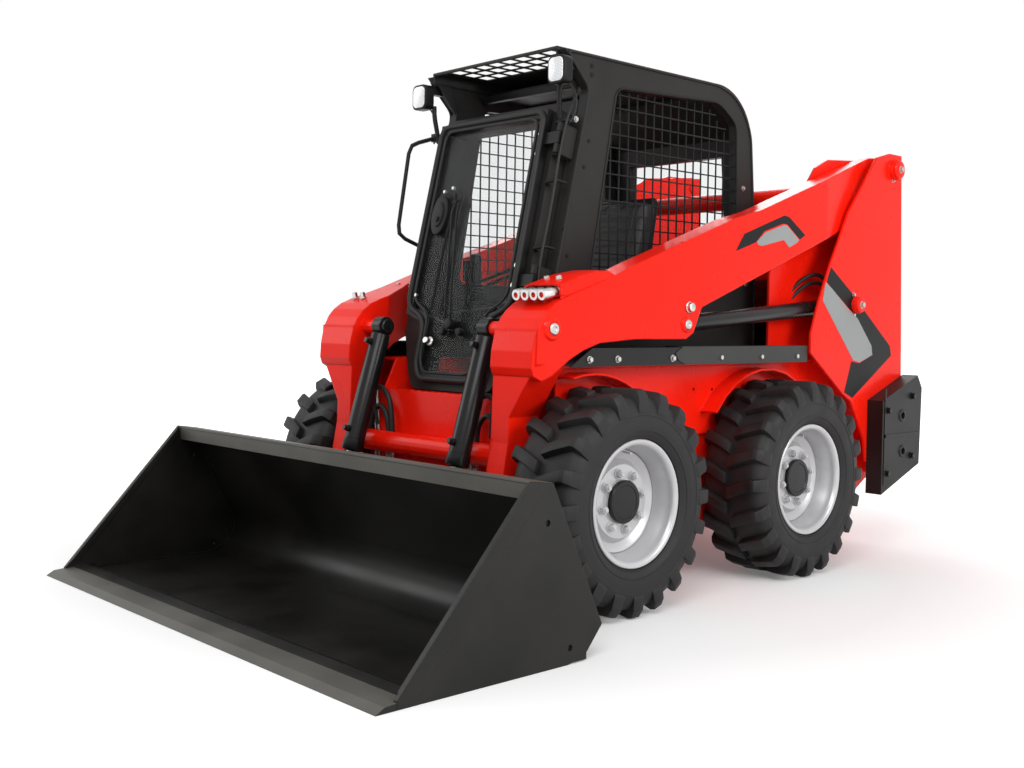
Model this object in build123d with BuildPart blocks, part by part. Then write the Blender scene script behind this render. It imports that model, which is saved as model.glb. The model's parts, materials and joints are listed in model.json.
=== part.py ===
from build123d import *
from math import atan2, cos, degrees, hypot, pi, radians, sin, tan
import os

# Skid steer loader with a bucket, in millimetres.
# +X is the operator's left, -Y is the front, +Z is up.  The origin is on the
# ground, under the middle of the overall length and width.
os.makedirs("parts", exist_ok=True)

# ---------------------------------------------------------------- driving sizes
overall_length = 3480.0
wheelbase = 1070.0
rear_overhang = 1113.0            # rear axle to the rearmost point
track = 1428.0                    # between the tyres' middle planes
gap = 5.0                         # least running clearance between moving pieces
seat_gap = 0.3                    # clearance of a piece that rests on another
pin_play = 0.05                   # radial clearance of a pin in its hole

rear_y = overall_length / 2
rear_axle_y = rear_y - rear_overhang
front_axle_y = rear_axle_y - wheelbase
tip_y = -overall_length / 2
wheel_x = track / 2

# Outlines are drawn with the axles at these two stations.  y_at() holds what is
# ahead of the hood to the front axle, and the rest to the rear axle.
drawn_front_axle = -443.0
drawn_rear_axle = 627.0
drawn_hood_front = 855.0


def y_at(drawn):
    if drawn < drawn_hood_front:
        return front_axle_y + drawn - drawn_front_axle
    return rear_axle_y + drawn - drawn_rear_axle


def place(*points):
    """Drawn (station, height) points, moved with the axles to (y, z)."""
    return [(y_at(station), height) for station, height in points]


# wheels: 12-16.5 tyres with deep lugs
tyre_radius = 400.0               # to the lug tips
tyre_width = 300.0
carcass_radius = 374.0
shoulder_radius = 322.0
shoulder_in = 36.0                # tread's edge, in from the tyre's full width
lugs_per_side = 16
lug_length = 60.0                 # round the tyre
lug_skew = 20.0
lug_drop = 84.0                   # how far a lug reaches down the shoulder
bead_radius = 210.0
bead_height = 18.0
rim_sides = 16
rim_width = 260.0
rim_flange = 10.0
rim_lip_radius = 224.0
rim_wall = 9.0
disc_plane = 53.0                 # disc's outer face, outboard of the middle plane
disc_wall = 12.0
disc_flat_radius = 134.0
disc_dish = 30.0
hub_radius = 78.0
hub_length = 26.0
axle_radius = 45.0

# chassis
ground_clearance = 203.0
plate = 10.0                      # common plate thickness
chassis_half = 545.0              # outer faces of the chain cases
tub_half = 330.0                  # inner faces of the chain cases
case_top = 620.0
tub_front_y = y_at(-648)
case_front_y = y_at(-560)
sill_z = 745.0                    # top of the front panel
deck_z = 868.0                    # underside of the cab and the rails
bulkhead_y = y_at(420)            # between the cab and the engine
frame_rear_y = y_at(1640)
rail_depth = 66.0
rail_out = 640.0
rail_width = 90.0
rail_wall = 8.0
fender_out = 632.0
fender_radius = 444.0
fender_wall = 8.0

# lift arms
arm_pivot = place((1577, 1757))[0]
arm_out = 640.0
arm_in = 540.0
knee_in = 425.0
leg_out = 515.0
arm_rear_out = 606.0
pivot_pin_radius = 30.0

# uprights
upright_out = 657.0               # outer face of the outer plate
upright_plate = 12.0
upright_in = 520.0                # inner face of the inner plate
hinge_pin_radius = 7.0
hood_wall = 8.0

# bucket and its coupler
bucket_width = 2150.0
bucket_top_z = 564.0
bucket_plate = 10.0
bucket_side = 14.0
bucket_hole_radius = 10.0
bucket_holes = place((-1117, 436), (-1015, 50))
heel_radius = 130.0
coupler_pin = place((-778, 150))[0]
coupler_pin_radius = 25.0
tilt_pin = place((-862, 359))[0]
wall_foot = place((-874, 101))[0]  # a point on the bucket's outer back face
wall_lean = 26.2                  # lean of the back face from the vertical

# cylinders
tilt_top = place((-672, 998))[0]
tilt_x = 318.0
tilt_bore = 40.0                  # barrel's outer radius
tilt_rod = 22.0
tilt_in_travel = 97.0             # how far the rod goes in from rest
lift_base = place((1266, 1121))[0]
lift_rod_pin = place((66, 1022))[0]
lift_x = 590.0
lift_bore = 34.0
lift_rod = 22.0
pin_radius = 19.0
eye_half = 26.0                   # half the width of a cylinder's eye
ear_reach = 45.0                  # from a rod's pin to the far side of the ears that hold it

# cab
cab_half = 402.0
cab_wall = 40.0
roof_z = 2061.0
roof_crown = 14.0                 # how far the side walls stop below the roof
roof_thick = 45.0
cab_rear_y = y_at(850)
window_low = 1180.0
wire = 5.0
mesh_pitch = 52.0
door_lean = 13.1                  # degrees from the vertical
door_foot = place((-625, 764))[0]  # (y, z) of the door's outer face at its foot
door_half = 312.0
door_hinge_x = 378.0
door_thick = 30.0
door_rim = 36.0                   # width of the door's frame round its glass
frame_gap = 5.0                   # between the shut door and the frame behind it
frame_half = 338.0
frame_depth = 65.0
glass_thick = 6.0


def write(part, name):
    part.label = name
    export_step(part, f"parts/{name}.step")


def mirrored(part):
    return mirror(part, about=Plane.YZ, mode=Mode.PRIVATE)


def side_plane(x):
    """Plane whose local x and y are the machine's Y and Z."""
    return Plane.YZ.offset(x)


def across_flats(radius, sides):
    """Corner radius of a polygon whose flats are at this radius."""
    return radius / cos(pi / sides)


# ---------------------------------------------------------------- wheels
half_width = tyre_width / 2
rim_half = rim_width / 2
half_step = 180.0 / lugs_per_side
# one half of the carcass, a flat under each of its lugs: distance from the middle
# plane and corner radius of each ring
carcass_rings = (
    (0, carcass_radius),
    (half_width - shoulder_in, carcass_radius),
    (half_width - 4, shoulder_radius),
    (rim_half - rim_flange - seat_gap, bead_radius + bead_height),
)
# the lug's outermost corner is at the tyre's radius, and its end at the tyre's width
lug_end = half_width - lug_length / 2 * sin(radians(lug_skew))
lug_start = 8.0
lug_corner = (lug_end - lug_start) / 2 * sin(radians(lug_skew)) + lug_length / 2 * cos(radians(lug_skew))
lug_top = (tyre_radius ** 2 - lug_corner ** 2) ** 0.5
lug_root = carcass_radius * cos(pi / lugs_per_side) - 10
with BuildPart() as lug:
    with BuildSketch(Plane.XZ.offset(-lug_length / 2)):
        Polygon(
            (lug_start, lug_root),
            (lug_start, lug_top),
            (lug_end - 16, lug_top),
            (lug_end, lug_top - lug_drop),
            (lug_end - 46, lug_root),
            align=None,
        )
    extrude(amount=lug_length)
lug_turned = lug.part.rotate(Axis(((lug_start + lug_end) / 2, 0, 0), (0, 0, 1)), lug_skew)
with BuildPart() as half_tyre:
    for ring_x, ring_radius in carcass_rings:
        with BuildSketch(side_plane(ring_x)):
            RegularPolygon(ring_radius, lugs_per_side, rotation=half_step)
    loft(ruled=True)
    for step in range(lugs_per_side):
        add(lug_turned.rotate(Axis.X, 2 * half_step * step))
with BuildPart() as tyre:
    add(half_tyre.part)
    add(mirrored(half_tyre.part).rotate(Axis.X, half_step))
    with BuildSketch(side_plane(-half_width)):
        RegularPolygon(bead_radius, rim_sides)
    extrude(amount=tyre_width, mode=Mode.SUBTRACT)

# rim, dished disc, hub and the axle shaft that turns with them; +X is outboard
barrel_radius = bead_radius - seat_gap
well_radius = barrel_radius - rim_wall
with BuildPart() as wheel:
    with BuildSketch(side_plane(-rim_half)):
        RegularPolygon(barrel_radius, rim_sides)
    extrude(amount=rim_width)
    for flange_x in (-rim_half, rim_half - rim_flange):
        with BuildSketch(side_plane(flange_x)):
            RegularPolygon(rim_lip_radius, rim_sides)
        extrude(amount=rim_flange)
    with BuildSketch(side_plane(-rim_half)):
        RegularPolygon(well_radius, rim_sides)
    extrude(amount=rim_width, mode=Mode.SUBTRACT)
    for ring_x, ring_radius in ((disc_plane - disc_dish, well_radius + 1), (disc_plane, disc_flat_radius)):
        with BuildSketch(side_plane(ring_x)):
            RegularPolygon(ring_radius, rim_sides)
    loft(ruled=True)
    with BuildSketch(side_plane(disc_plane - disc_dish - disc_wall)):
        RegularPolygon(well_radius + 1, rim_sides)
    extrude(amount=disc_wall)
    with BuildSketch(side_plane(disc_plane - disc_dish - disc_wall)):
        RegularPolygon(disc_flat_radius - 6, rim_sides)
    extrude(amount=disc_dish, mode=Mode.SUBTRACT)
    with BuildSketch(side_plane(disc_plane - disc_wall - 40)):
        RegularPolygon(hub_radius + 24, 12)
    extrude(amount=45)
    with BuildSketch(side_plane(disc_plane)):
        RegularPolygon(hub_radius, 16)
    extrude(amount=hub_length)
    with BuildSketch(side_plane(disc_plane - disc_wall - 40)):
        Circle(axle_radius)
    extrude(amount=-(disc_plane - disc_wall - 40 + wheel_x - chassis_half - 30))

for end, axle_y in (("front", front_axle_y), ("rear", rear_axle_y)):
    for side, sign in (("left", 1), ("right", -1)):
        spot = Location((sign * wheel_x, axle_y, tyre_radius))
        turn = Location((0, 0, 0), (0, 0, 0 if sign > 0 else 180))
        write(tyre.part.moved(spot * turn), f"tyre_{end}_{side}")
        write(wheel.part.moved(spot * turn), f"wheel_{end}_{side}")

# ---------------------------------------------------------------- chassis
belly_rear_y = frame_rear_y - 240
with BuildPart() as chassis:
    # chain cases, each side of the foot well and the engine bay
    for sign in (1, -1):
        with BuildSketch(side_plane(sign * tub_half)):
            Polygon(
                (case_front_y, ground_clearance + 60),
                (case_front_y + 60, ground_clearance),
                (belly_rear_y, ground_clearance),
                (frame_rear_y, ground_clearance + 130),
                (frame_rear_y, case_top),
                (case_front_y, case_top),
                align=None,
            )
        extrude(amount=sign * (chassis_half - tub_half))
    # belly plate, turned up at the rear
    with BuildSketch(side_plane(-tub_half - 1)):
        Polygon(
            (tub_front_y, ground_clearance),
            (belly_rear_y, ground_clearance),
            (frame_rear_y, ground_clearance + 130),
            (frame_rear_y, ground_clearance + 130 + plate),
            (belly_rear_y, ground_clearance + plate),
            (tub_front_y, ground_clearance + plate),
            align=None,
        )
    extrude(amount=2 * tub_half + 2)
    # front panel with its folded sill
    with BuildSketch(side_plane(-400)):
        Polygon(
            (tub_front_y, ground_clearance),
            (tub_front_y, sill_z),
            (tub_front_y + 60, sill_z),
            (tub_front_y + 60, sill_z - plate),
            (tub_front_y + plate, sill_z - plate),
            (tub_front_y + plate, ground_clearance),
            align=None,
        )
    extrude(amount=800)
    for sign in (1, -1):
        # side walls of the foot well, up to the cab
        with BuildSketch(side_plane(sign * tub_half)):
            Polygon(
                (tub_front_y, ground_clearance),
                (tub_front_y, sill_z),
                (tub_front_y + 60, deck_z - seat_gap),
                (frame_rear_y, deck_z - seat_gap),
                (frame_rear_y, ground_clearance + 130),
                (case_front_y, ground_clearance),
                align=None,
            )
        extrude(amount=sign * plate)
        # decks over the chain cases, with the fender panels outside them
        with BuildSketch(Plane.XY.offset(deck_z - seat_gap - plate)):
            with Locations((sign * (tub_half + chassis_half + 15) / 2, (case_front_y + frame_rear_y) / 2)):
                Rectangle(chassis_half + 15 - tub_half, frame_rear_y - case_front_y)
        extrude(amount=plate)
        with BuildSketch(side_plane(sign * (chassis_half - 2))):
            Polygon(
                (case_front_y, case_top - 40),
                (case_front_y, deck_z - seat_gap),
                (frame_rear_y, deck_z - seat_gap),
                (frame_rear_y, case_top - 40),
                align=None,
            )
        extrude(amount=sign * plate)
    # bulkhead between the cab and the engine bay
    with BuildSketch(Plane.XZ.offset(-bulkhead_y)):
        with Locations((0, (ground_clearance + deck_z) / 2)):
            Rectangle(2 * tub_half + 2, deck_z - ground_clearance - 2 * seat_gap)
    extrude(amount=-plate)
    # rear cross member under the engine door, between the uprights' outer plates
    with BuildSketch(side_plane(-upright_out + upright_plate + seat_gap)):
        Polygon(
            (frame_rear_y - 30, ground_clearance + 120),
            (frame_rear_y + 50, ground_clearance + 160),
            (frame_rear_y + 50, case_top - 60),
            (frame_rear_y - 30, case_top - 60),
            align=None,
        )
    extrude(amount=2 * (upright_out - upright_plate - seat_gap))


# arched fender flanges over the four wheels, in short flats
def arch(axle_y, low, high, count=9):
    angles = [radians(low + (high - low) * k / count) for k in range(count + 1)]
    outer = [(axle_y + fender_radius * cos(a), tyre_radius + fender_radius * sin(a)) for a in angles]
    inside = fender_radius - fender_wall
    inner = [(axle_y + inside * cos(a), tyre_radius + inside * sin(a)) for a in reversed(angles)]
    return outer + inner


fender_in = chassis_half + plate - 3
with BuildPart() as frame:
    add(chassis.part)
    for axle_y, high in ((front_axle_y, 104), (rear_axle_y, 142)):
        for sign in (1, -1):
            with BuildSketch(side_plane(sign * fender_in)):
                Polygon(*arch(axle_y, 38, high), align=None)
            extrude(amount=sign * (fender_out - fender_in))
write(frame.part, "chassis")

# step rails along the tops of the fenders
rail_top = deck_z + rail_depth
rail_rear_y = y_at(905)
with BuildPart() as step_rails:
    for sign in (1, -1):
        with BuildSketch(side_plane(sign * (rail_out - rail_width))):
            Polygon(
                (y_at(-576), deck_z),
                (y_at(-464), rail_top),
                (rail_rear_y, rail_top),
                (rail_rear_y, deck_z),
                align=None,
            )
        extrude(amount=sign * rail_width)
        with BuildSketch(side_plane(sign * (rail_out - rail_width + rail_wall))):
            Polygon(
                (y_at(-594), deck_z - 1),
                (y_at(-478), rail_top - rail_wall),
                (rail_rear_y + 5, rail_top - rail_wall),
                (rail_rear_y + 5, deck_z - 1),
                align=None,
            )
        extrude(amount=sign * (rail_width - 2 * rail_wall), mode=Mode.SUBTRACT)
write(step_rails.part, "step_rails")

# uprights that carry the arms, each two plates joined by a rear and a lower web
hood_hinge = place((876, 1284))[0]
hood_half = upright_in - 30.0
engine_hinge = (490.0, frame_rear_y + 76)
engine_hinge_heights = (700.0, 1000.0)
with BuildPart() as upright_left:
    with BuildSketch(side_plane(upright_out - upright_plate)):
        Polygon(
            *place(
                (1420, 1800), (1530, 1829), (1640, 1829), (1684, 804), (1684, 400), (1385, 400), (1365, 500),
                (1241, 684), (1170, 722), (905, 905), (905, 985), (961, 1125), (1053, 1304), (1190, 1535),
            ),
            align=None,
        )
    extrude(amount=upright_plate)
    with BuildSketch(side_plane(upright_in)):
        Polygon(
            *place((1110, 1735), (1210, 1780), (1640, 1815), (1681, 868), (770, 868), (770, 1250), (1005, 1607)),
            align=None,
        )
    extrude(amount=upright_plate)
    with BuildSketch(side_plane(upright_in + 2)):
        Polygon(*place((1636, 1640), (1646, 1640), (1680, 868), (1670, 868)), align=None)
        Polygon(*place((950, 868), (1300, 868), (1300, 878), (950, 878)), align=None)
    extrude(amount=upright_out - upright_in - 4)
    # bosses and their pins through both plates
    for centre, radius, pin in ((arm_pivot, 50, pivot_pin_radius), (lift_base, 40, pin_radius)):
        with BuildSketch(side_plane(upright_out)):
            with Locations(centre):
                RegularPolygon(radius, 14)
        extrude(amount=16)
        with BuildSketch(side_plane(upright_in - 8)):
            with Locations(centre):
                RegularPolygon(pin, 12)
        extrude(amount=upright_out - upright_in + 30)
    # the hood's hinge pin stands in from the inner plate
    with BuildSketch(side_plane(upright_in)):
        with Locations(hood_hinge):
            RegularPolygon(hinge_pin_radius, 8)
    extrude(amount=-(upright_in - hood_half + hood_wall))
with BuildPart() as upright_right:
    add(mirrored(upright_left.part))
# knuckles and pins that carry the engine door, on the left upright only
with BuildPart() as upright_hinged:
    add(upright_left.part)
    for height in engine_hinge_heights:
        for low in (height - 34, height + 16):
            with BuildSketch(Plane.XY.offset(low)):
                with Locations((engine_hinge[0] + 15, engine_hinge[1] - 4)):
                    Rectangle(50, 24)
                with Locations((upright_in + 6, engine_hinge[1] - 26)):
                    Rectangle(12, 40)
            extrude(amount=18)
        with BuildSketch(Plane.XY.offset(height - 30)):
            with Locations(engine_hinge):
                RegularPolygon(hinge_pin_radius, 8)
        extrude(amount=60)
write(upright_hinged.part, "upright_left")
write(upright_right.part, "upright_right")

# axle housings bolted to the chain cases
with BuildPart() as axle_housings:
    for axle_y in (front_axle_y, rear_axle_y):
        for sign in (1, -1):
            for start, length, radius in ((0, 18, 105), (18, 66, 80)):
                with BuildSketch(side_plane(sign * (chassis_half + seat_gap + start))):
                    with Locations((axle_y, tyre_radius)):
                        RegularPolygon(radius, 10)
                        RegularPolygon(across_flats(axle_radius + seat_gap, 10), 10, mode=Mode.SUBTRACT)
                extrude(amount=sign * length)
write(axle_housings.part, "axle_housings")

# engine: one plain block at its real place and size
engine_front_y = bulkhead_y + 140
engine_rear_y = belly_rear_y - 20
with BuildPart() as engine:
    with BuildSketch(Plane.XY.offset(ground_clearance + plate + seat_gap)):
        with Locations((0, (engine_front_y + engine_rear_y) / 2)):
            Rectangle(2 * tub_half - 100, engine_rear_y - engine_front_y)
    extrude(amount=deck_z - ground_clearance - 45)
write(engine.part, "engine")

# counterweights bolted outside the uprights, sloped with the departure angle
weight_slope = tan(radians(19.5))
weight_front = y_at(1385)
weight_low = 256.0
weight_height = 430.0
weight_thick = 78.0
weight_hole_radius = 14.0
weight_length = rear_y - 12 - weight_front
with BuildPart() as counterweights:
    for sign in (1, -1):
        with BuildSketch(side_plane(sign * (upright_out + seat_gap))):
            Polygon(
                (weight_front, weight_low),
                (weight_front, weight_low + weight_height),
                (rear_y - 42, weight_low + weight_height + weight_slope * (weight_length - 30)),
                (rear_y, weight_low + weight_height + weight_slope * (weight_length - 30) - 60),
                (rear_y - 12, weight_low + weight_slope * weight_length),
                align=None,
            )
            with Locations((rear_y - 180, weight_low + 356), (rear_y - 172, weight_low + 190)):
                Circle(weight_hole_radius, mode=Mode.SUBTRACT)
        extrude(amount=sign * weight_thick)
write(counterweights.part, "counterweights")

# ---------------------------------------------------------------- cab
side_top = roof_z - roof_crown
roof_front = (y_at(-386), side_top)
visor_foot = (y_at(-252), roof_z - 145)
roof_bend = (y_at(560), side_top)
rear_bend = (y_at(800), roof_z - 211)
window = (
    (y_at(-232), window_low),
    (y_at(-92), roof_z - 121),
    (y_at(560), roof_z - 91),
    (y_at(690), roof_z - 171),
    (y_at(712), window_low),
)
with BuildPart() as cab_side_left:
    with BuildSketch(side_plane(cab_half - cab_wall)) as cab_outline:
        with BuildLine():
            Polyline((y_at(-485), deck_z), (y_at(-415), 1223), visor_foot, roof_front, roof_bend)
            RadiusArc(roof_bend, rear_bend, 250)
            Polyline(rear_bend, (cab_rear_y, 1300), (cab_rear_y, deck_z), (y_at(-485), deck_z))
        make_face()
    extrude(amount=cab_wall)
    with BuildSketch(side_plane(cab_half - cab_wall)) as window_cut:
        Polygon(*window, align=None)
        fillet(window_cut.vertices(), 40)
    extrude(amount=cab_wall, mode=Mode.SUBTRACT)
write(cab_side_left.part, "cab_side_left")
with BuildPart() as cab_side_right:
    add(mirrored(cab_side_left.part))
write(cab_side_right.part, "cab_side_right")


# mesh screens: upright wires, and level wires seated just outside them
def between(start, end, share):
    return start + (end - start) * share


def window_ends(z):
    """Front and rear ends of a level wire at height z."""
    front = between(window[0][0], window[1][0], (z - window_low) / (window[1][1] - window_low))
    rear = between(window[4][0], window[3][0], (z - window_low) / (window[3][1] - window_low))
    if z > window[3][1] - 50:
        front += 34
        rear -= (z - window[3][1] + 62) * 1.4
    return front + 1, rear - 1


def window_head(y):
    """Top end of an upright wire at station y."""
    top = between(window[1][1], window[2][1], (y - window[1][0]) / (window[2][0] - window[1][0])) - 8
    if y < window[1][0] + 32:
        return between(window_low, window[1][1], (y - window[0][0]) / (window[1][0] - window[0][0])) - 34
    if y > window[2][0] - 60:
        return top - (y - window[2][0] + 60) * 0.85
    return top


screen_x = cab_half - cab_wall / 2
with BuildPart() as window_mesh:
    level = window_low + mesh_pitch + 10
    while level < window[1][1] - 10:
        front, rear = window_ends(level)
        with BuildSketch(side_plane(screen_x)):
            with Locations(((front + rear) / 2, level)):
                Rectangle(rear - front, wire)
        extrude(amount=wire)
        level += mesh_pitch
    across = window[0][0] + 82
    while across < window[4][0] - 52:
        head = window_head(across)
        with BuildSketch(side_plane(screen_x - seat_gap)):
            with Locations((across, (window_low + head) / 2)):
                Rectangle(wire, head - window_low)
        extrude(amount=-wire)
        across += mesh_pitch
write(window_mesh.part, "window_mesh_left")
with BuildPart() as window_mesh_right:
    add(mirrored(window_mesh.part))
write(window_mesh_right.part, "window_mesh_right")

# roof with the open grille over the door
inner_half = cab_half - cab_wall - seat_gap  # of the roof and the rear wall
grille_length = 266.0
with BuildPart() as roof:
    with BuildSketch(Plane.XY.offset(roof_z - roof_thick)):
        with Locations((0, (roof_front[0] + roof_bend[0]) / 2)):
            Rectangle(2 * inner_half, roof_bend[0] - roof_front[0])
        with Locations((0, roof_front[0] + grille_length / 2 + 6)):
            with GridLocations(76, 76, 8, 3):
                Rectangle(60, 60, mode=Mode.SUBTRACT)
    extrude(amount=roof_thick)
write(roof.part, "roof")

# rear wall with the rear window
rear_glass_low = 1350.0
rear_glass_high = roof_z - 291
rear_glass_half = 270.0
rear_wall_slope = (rear_bend[0] - cab_rear_y) / (rear_bend[1] - 1300)
with BuildPart() as cab_rear:
    with BuildSketch(side_plane(-inner_half)):
        Polygon(
            (roof_bend[0] + seat_gap, side_top),
            (roof_bend[0] + seat_gap, side_top - 40),
            (rear_bend[0] - 45, rear_bend[1] - 5),
            (cab_rear_y - 45, 1300),
            (cab_rear_y - 45, deck_z),
            (cab_rear_y, deck_z),
            (cab_rear_y, 1300),
            rear_bend,
            (rear_bend[0] - 100, rear_bend[1] + 140),
            align=None,
        )
    extrude(amount=2 * inner_half)
    with BuildSketch(Plane.XZ.offset(-rear_bend[0] + 100)):
        with Locations((0, (rear_glass_low + rear_glass_high) / 2)):
            Rectangle(2 * rear_glass_half, rear_glass_high - rear_glass_low)
    extrude(amount=-200, mode=Mode.SUBTRACT)
write(cab_rear.part, "cab_rear")
glass_low_y = cab_rear_y + rear_wall_slope * (rear_glass_low - 1300) - 25
glass_high_y = cab_rear_y + rear_wall_slope * (rear_glass_high - 1300) - 25
with BuildPart() as rear_glass:
    with BuildSketch(side_plane(-rear_glass_half + seat_gap)):
        Polygon(
            (glass_low_y, rear_glass_low + seat_gap),
            (glass_high_y, rear_glass_high - seat_gap),
            (glass_high_y + glass_thick, rear_glass_high - seat_gap),
            (glass_low_y + glass_thick, rear_glass_low + seat_gap),
            align=None,
        )
    extrude(amount=2 * (rear_glass_half - seat_gap))
write(rear_glass.part, "rear_glass")

# ---------------------------------------------------------------- door and its frame
# local x is the machine's X, local y runs up the leaning door, z is outwards
lean = radians(door_lean)
door_up = Vector(0, sin(lean), cos(lean))
door_plane = Plane(origin=(0, *door_foot), x_dir=(1, 0, 0), z_dir=(0, -cos(lean), sin(lean)))


def up(z):
    """Distance up the door plane of height z."""
    return (z - door_foot[1]) / cos(lean)


def half_profile(points):
    """Both halves of an outline given down its +X side from the top."""
    return points + [(-x, y) for x, y in reversed(points)]


waist_half = 190.0
waist_top = up(1016)
shoulder = up(1052)
door_top = up(roof_z - 226)
door_outline = half_profile([
    (door_half, door_top),
    (door_half, shoulder),
    (waist_half, waist_top),
    (waist_half, up(840)),
    (waist_half - 14, up(806)),
    (waist_half - 46, up(784)),
])
opening_outline = half_profile([
    (door_half - 28, door_top - 28),
    (door_half - 28, shoulder + 20),
    (waist_half - 28, waist_top + 20),
    (waist_half - 28, up(846)),
    (waist_half - 66, up(812)),
])
frame_front = -door_thick - frame_gap
hinge_heights = (up(1180), up(1720))
hinge_reach = door_hinge_x + 7
with BuildPart() as cab_front:
    with BuildSketch(door_plane.offset(frame_front)):
        Polygon(
            *half_profile([
                (frame_half - 8, door_top + 9), (frame_half, door_top - 10), (frame_half, up(983)),
                (262, up(806)), (236, up(772)), (200, up(757)),
            ]),
            align=None,
        )
        Polygon(*opening_outline, align=None, mode=Mode.SUBTRACT)
    extrude(amount=-frame_depth)
    # flange that joins the frame to the side walls
    with BuildSketch(door_plane.offset(frame_front - frame_depth)):
        Polygon(
            *half_profile([(inner_half, door_top + 66), (inner_half, up(895)), (300, up(895))]),
            align=None,
        )
        Polygon(*opening_outline, align=None, mode=Mode.SUBTRACT)
    extrude(amount=-12)
    # hinge brackets beside the frame, each with two knuckles and a pin
    for height in hinge_heights:
        with BuildSketch(door_plane.offset(frame_front)):
            with Locations(((frame_half + hinge_reach) / 2 - 1, height)):
                Rectangle(hinge_reach - frame_half + 2, 120)
        extrude(amount=-frame_depth)
        with BuildSketch(door_plane.offset(-door_thick / 2 + 9)):
            with Locations((door_hinge_x, height - 42), (door_hinge_x, height + 42)):
                Rectangle(14, 34)
        extrude(amount=frame_front + door_thick / 2 - 9 - 1)
    pin_foot = door_plane.from_local_coords((door_hinge_x, hinge_heights[0] - 30, -door_thick / 2))
    with BuildSketch(Plane(origin=pin_foot, x_dir=(1, 0, 0), z_dir=door_up)):
        Circle(hinge_pin_radius - 2)
    extrude(amount=60)
    pin_foot = door_plane.from_local_coords((door_hinge_x, hinge_heights[1] - 30, -door_thick / 2))
    with BuildSketch(Plane(origin=pin_foot, x_dir=(1, 0, 0), z_dir=door_up)):
        RegularPolygon(hinge_pin_radius - 2, 8)
    extrude(amount=60)
write(cab_front.part, "cab_front")

with BuildPart() as door:
    with BuildSketch(door_plane):
        Polygon(*door_outline, align=None)
        offset(amount=-door_rim, mode=Mode.SUBTRACT)
    extrude(amount=-door_thick)
    # hinge tongues reach from the door's edge to the pins
    with BuildSketch(door_plane.offset(-door_thick / 2 + 8)):
        for height in hinge_heights:
            with Locations(((door_half + hinge_reach) / 2 + 1, height)):
                Rectangle(hinge_reach - door_half + 2, 46)
    extrude(amount=-16)
    for height in hinge_heights:
        pin_foot = door_plane.from_local_coords((door_hinge_x, height - 30, -door_thick / 2))
        with BuildSketch(Plane(origin=pin_foot, x_dir=(1, 0, 0), z_dir=door_up)):
            RegularPolygon(across_flats(hinge_pin_radius - 2 + pin_play, 8), 8)
        extrude(amount=60, mode=Mode.SUBTRACT)
write(door.part, "door_frame")

with BuildPart() as door_glass:
    with BuildSketch(door_plane.offset(-door_thick / 2 + glass_thick / 2)):
        Polygon(*door_outline, align=None)
        offset(amount=-door_rim - seat_gap, mode=Mode.REPLACE)
    extrude(amount=-glass_thick)
write(door_glass.part, "door_glass")

# work lamps, each on a bracket against the front edge of the side wall
lamp_z = roof_z - 100
lamp_back_y = roof_front[0] - 2
visor_slope = (visor_foot[0] - roof_front[0]) / (side_top - visor_foot[1])
with BuildPart() as work_lamps:
    for sign in (1, -1):
        with BuildSketch(Plane.XZ.offset(-lamp_back_y)) as lamp_face:
            with Locations((sign * cab_half, lamp_z)):
                Rectangle(84, 100)
            chamfer(lamp_face.vertices(), 16)
        extrude(amount=40)
        with BuildSketch(side_plane(sign * (cab_half - 32))):
            Polygon(
                (lamp_back_y - 2, lamp_z + 14),
                (lamp_back_y - 2, lamp_z + 48),
                (roof_front[0] + visor_slope * (side_top - lamp_z - 48) - seat_gap, lamp_z + 48),
                (roof_front[0] + visor_slope * (side_top - lamp_z - 14) - seat_gap, lamp_z + 14),
                align=None,
            )
        extrude(amount=sign * 28)
write(work_lamps.part, "work_lamps")

# grab handle on the right, bent from tube and bolted to the front of the side wall
handle_x = -cab_half - 14
handle_radius = 9.0
handle_line = place(
    (-331, 1802), (-418, 1774), (-454, 1757), (-471, 1723), (-520, 1421), (-516, 1386), (-486, 1365), (-394, 1334),
)
with BuildPart() as grab_handle:
    with BuildLine() as handle_path:
        Polyline(*[(handle_x, y, z) for y, z in handle_line])
    handle_start = Vector(handle_x, *handle_line[0])
    handle_way = Vector(handle_x, *handle_line[1]) - handle_start
    with BuildSketch(Plane(origin=handle_start, z_dir=handle_way)):
        RegularPolygon(handle_radius, 6)
    sweep(transition=Transition.RIGHT)
    for y, z in (handle_line[0], handle_line[-1]):
        with BuildSketch(side_plane(handle_x - handle_radius)):
            with Locations((y + 16, z)):
                Rectangle(56, 34)
        extrude(amount=-(handle_x - handle_radius + cab_half + seat_gap))
write(grab_handle.part, "grab_handle")

# seat on its base, and the two consoles with their levers
with BuildPart() as seat:
    with BuildSketch(side_plane(-230)):
        Polygon(
            *place(
                (-180, 1005), (-196, 1080), (-160, 1112), (150, 1092), (196, 1120), (300, 1540), (330, 1560),
                (390, 1545), (290, 998),
            ),
            align=None,
        )
    extrude(amount=460)
write(seat.part, "seat")
floor_top = ground_clearance + plate + seat_gap
with BuildPart() as seat_base:
    with BuildSketch(side_plane(-200)):
        Polygon(*place((-120, floor_top), (-140, 1003.2), (270, 998), (370, floor_top)), align=None)
    extrude(amount=400)
write(seat_base.part, "seat_base")

with BuildPart() as controls:
    for sign in (1, -1):
        with BuildSketch(side_plane(sign * 236)):
            Polygon(*place((-300, deck_z), (-330, 1060), (-60, 1090), (0, deck_z)), align=None)
        extrude(amount=sign * (inner_half - 236))
        with BuildSketch(Plane.XY.offset(1060)):
            with Locations((sign * 280, y_at(-250))):
                RegularPolygon(12, 8)
        extrude(amount=160)
        with BuildSketch(Plane.XY.offset(1190)):
            with Locations((sign * 280, y_at(-250))):
                RegularPolygon(24, 10)
        extrude(amount=90)
write(controls.part, "controls")

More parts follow.
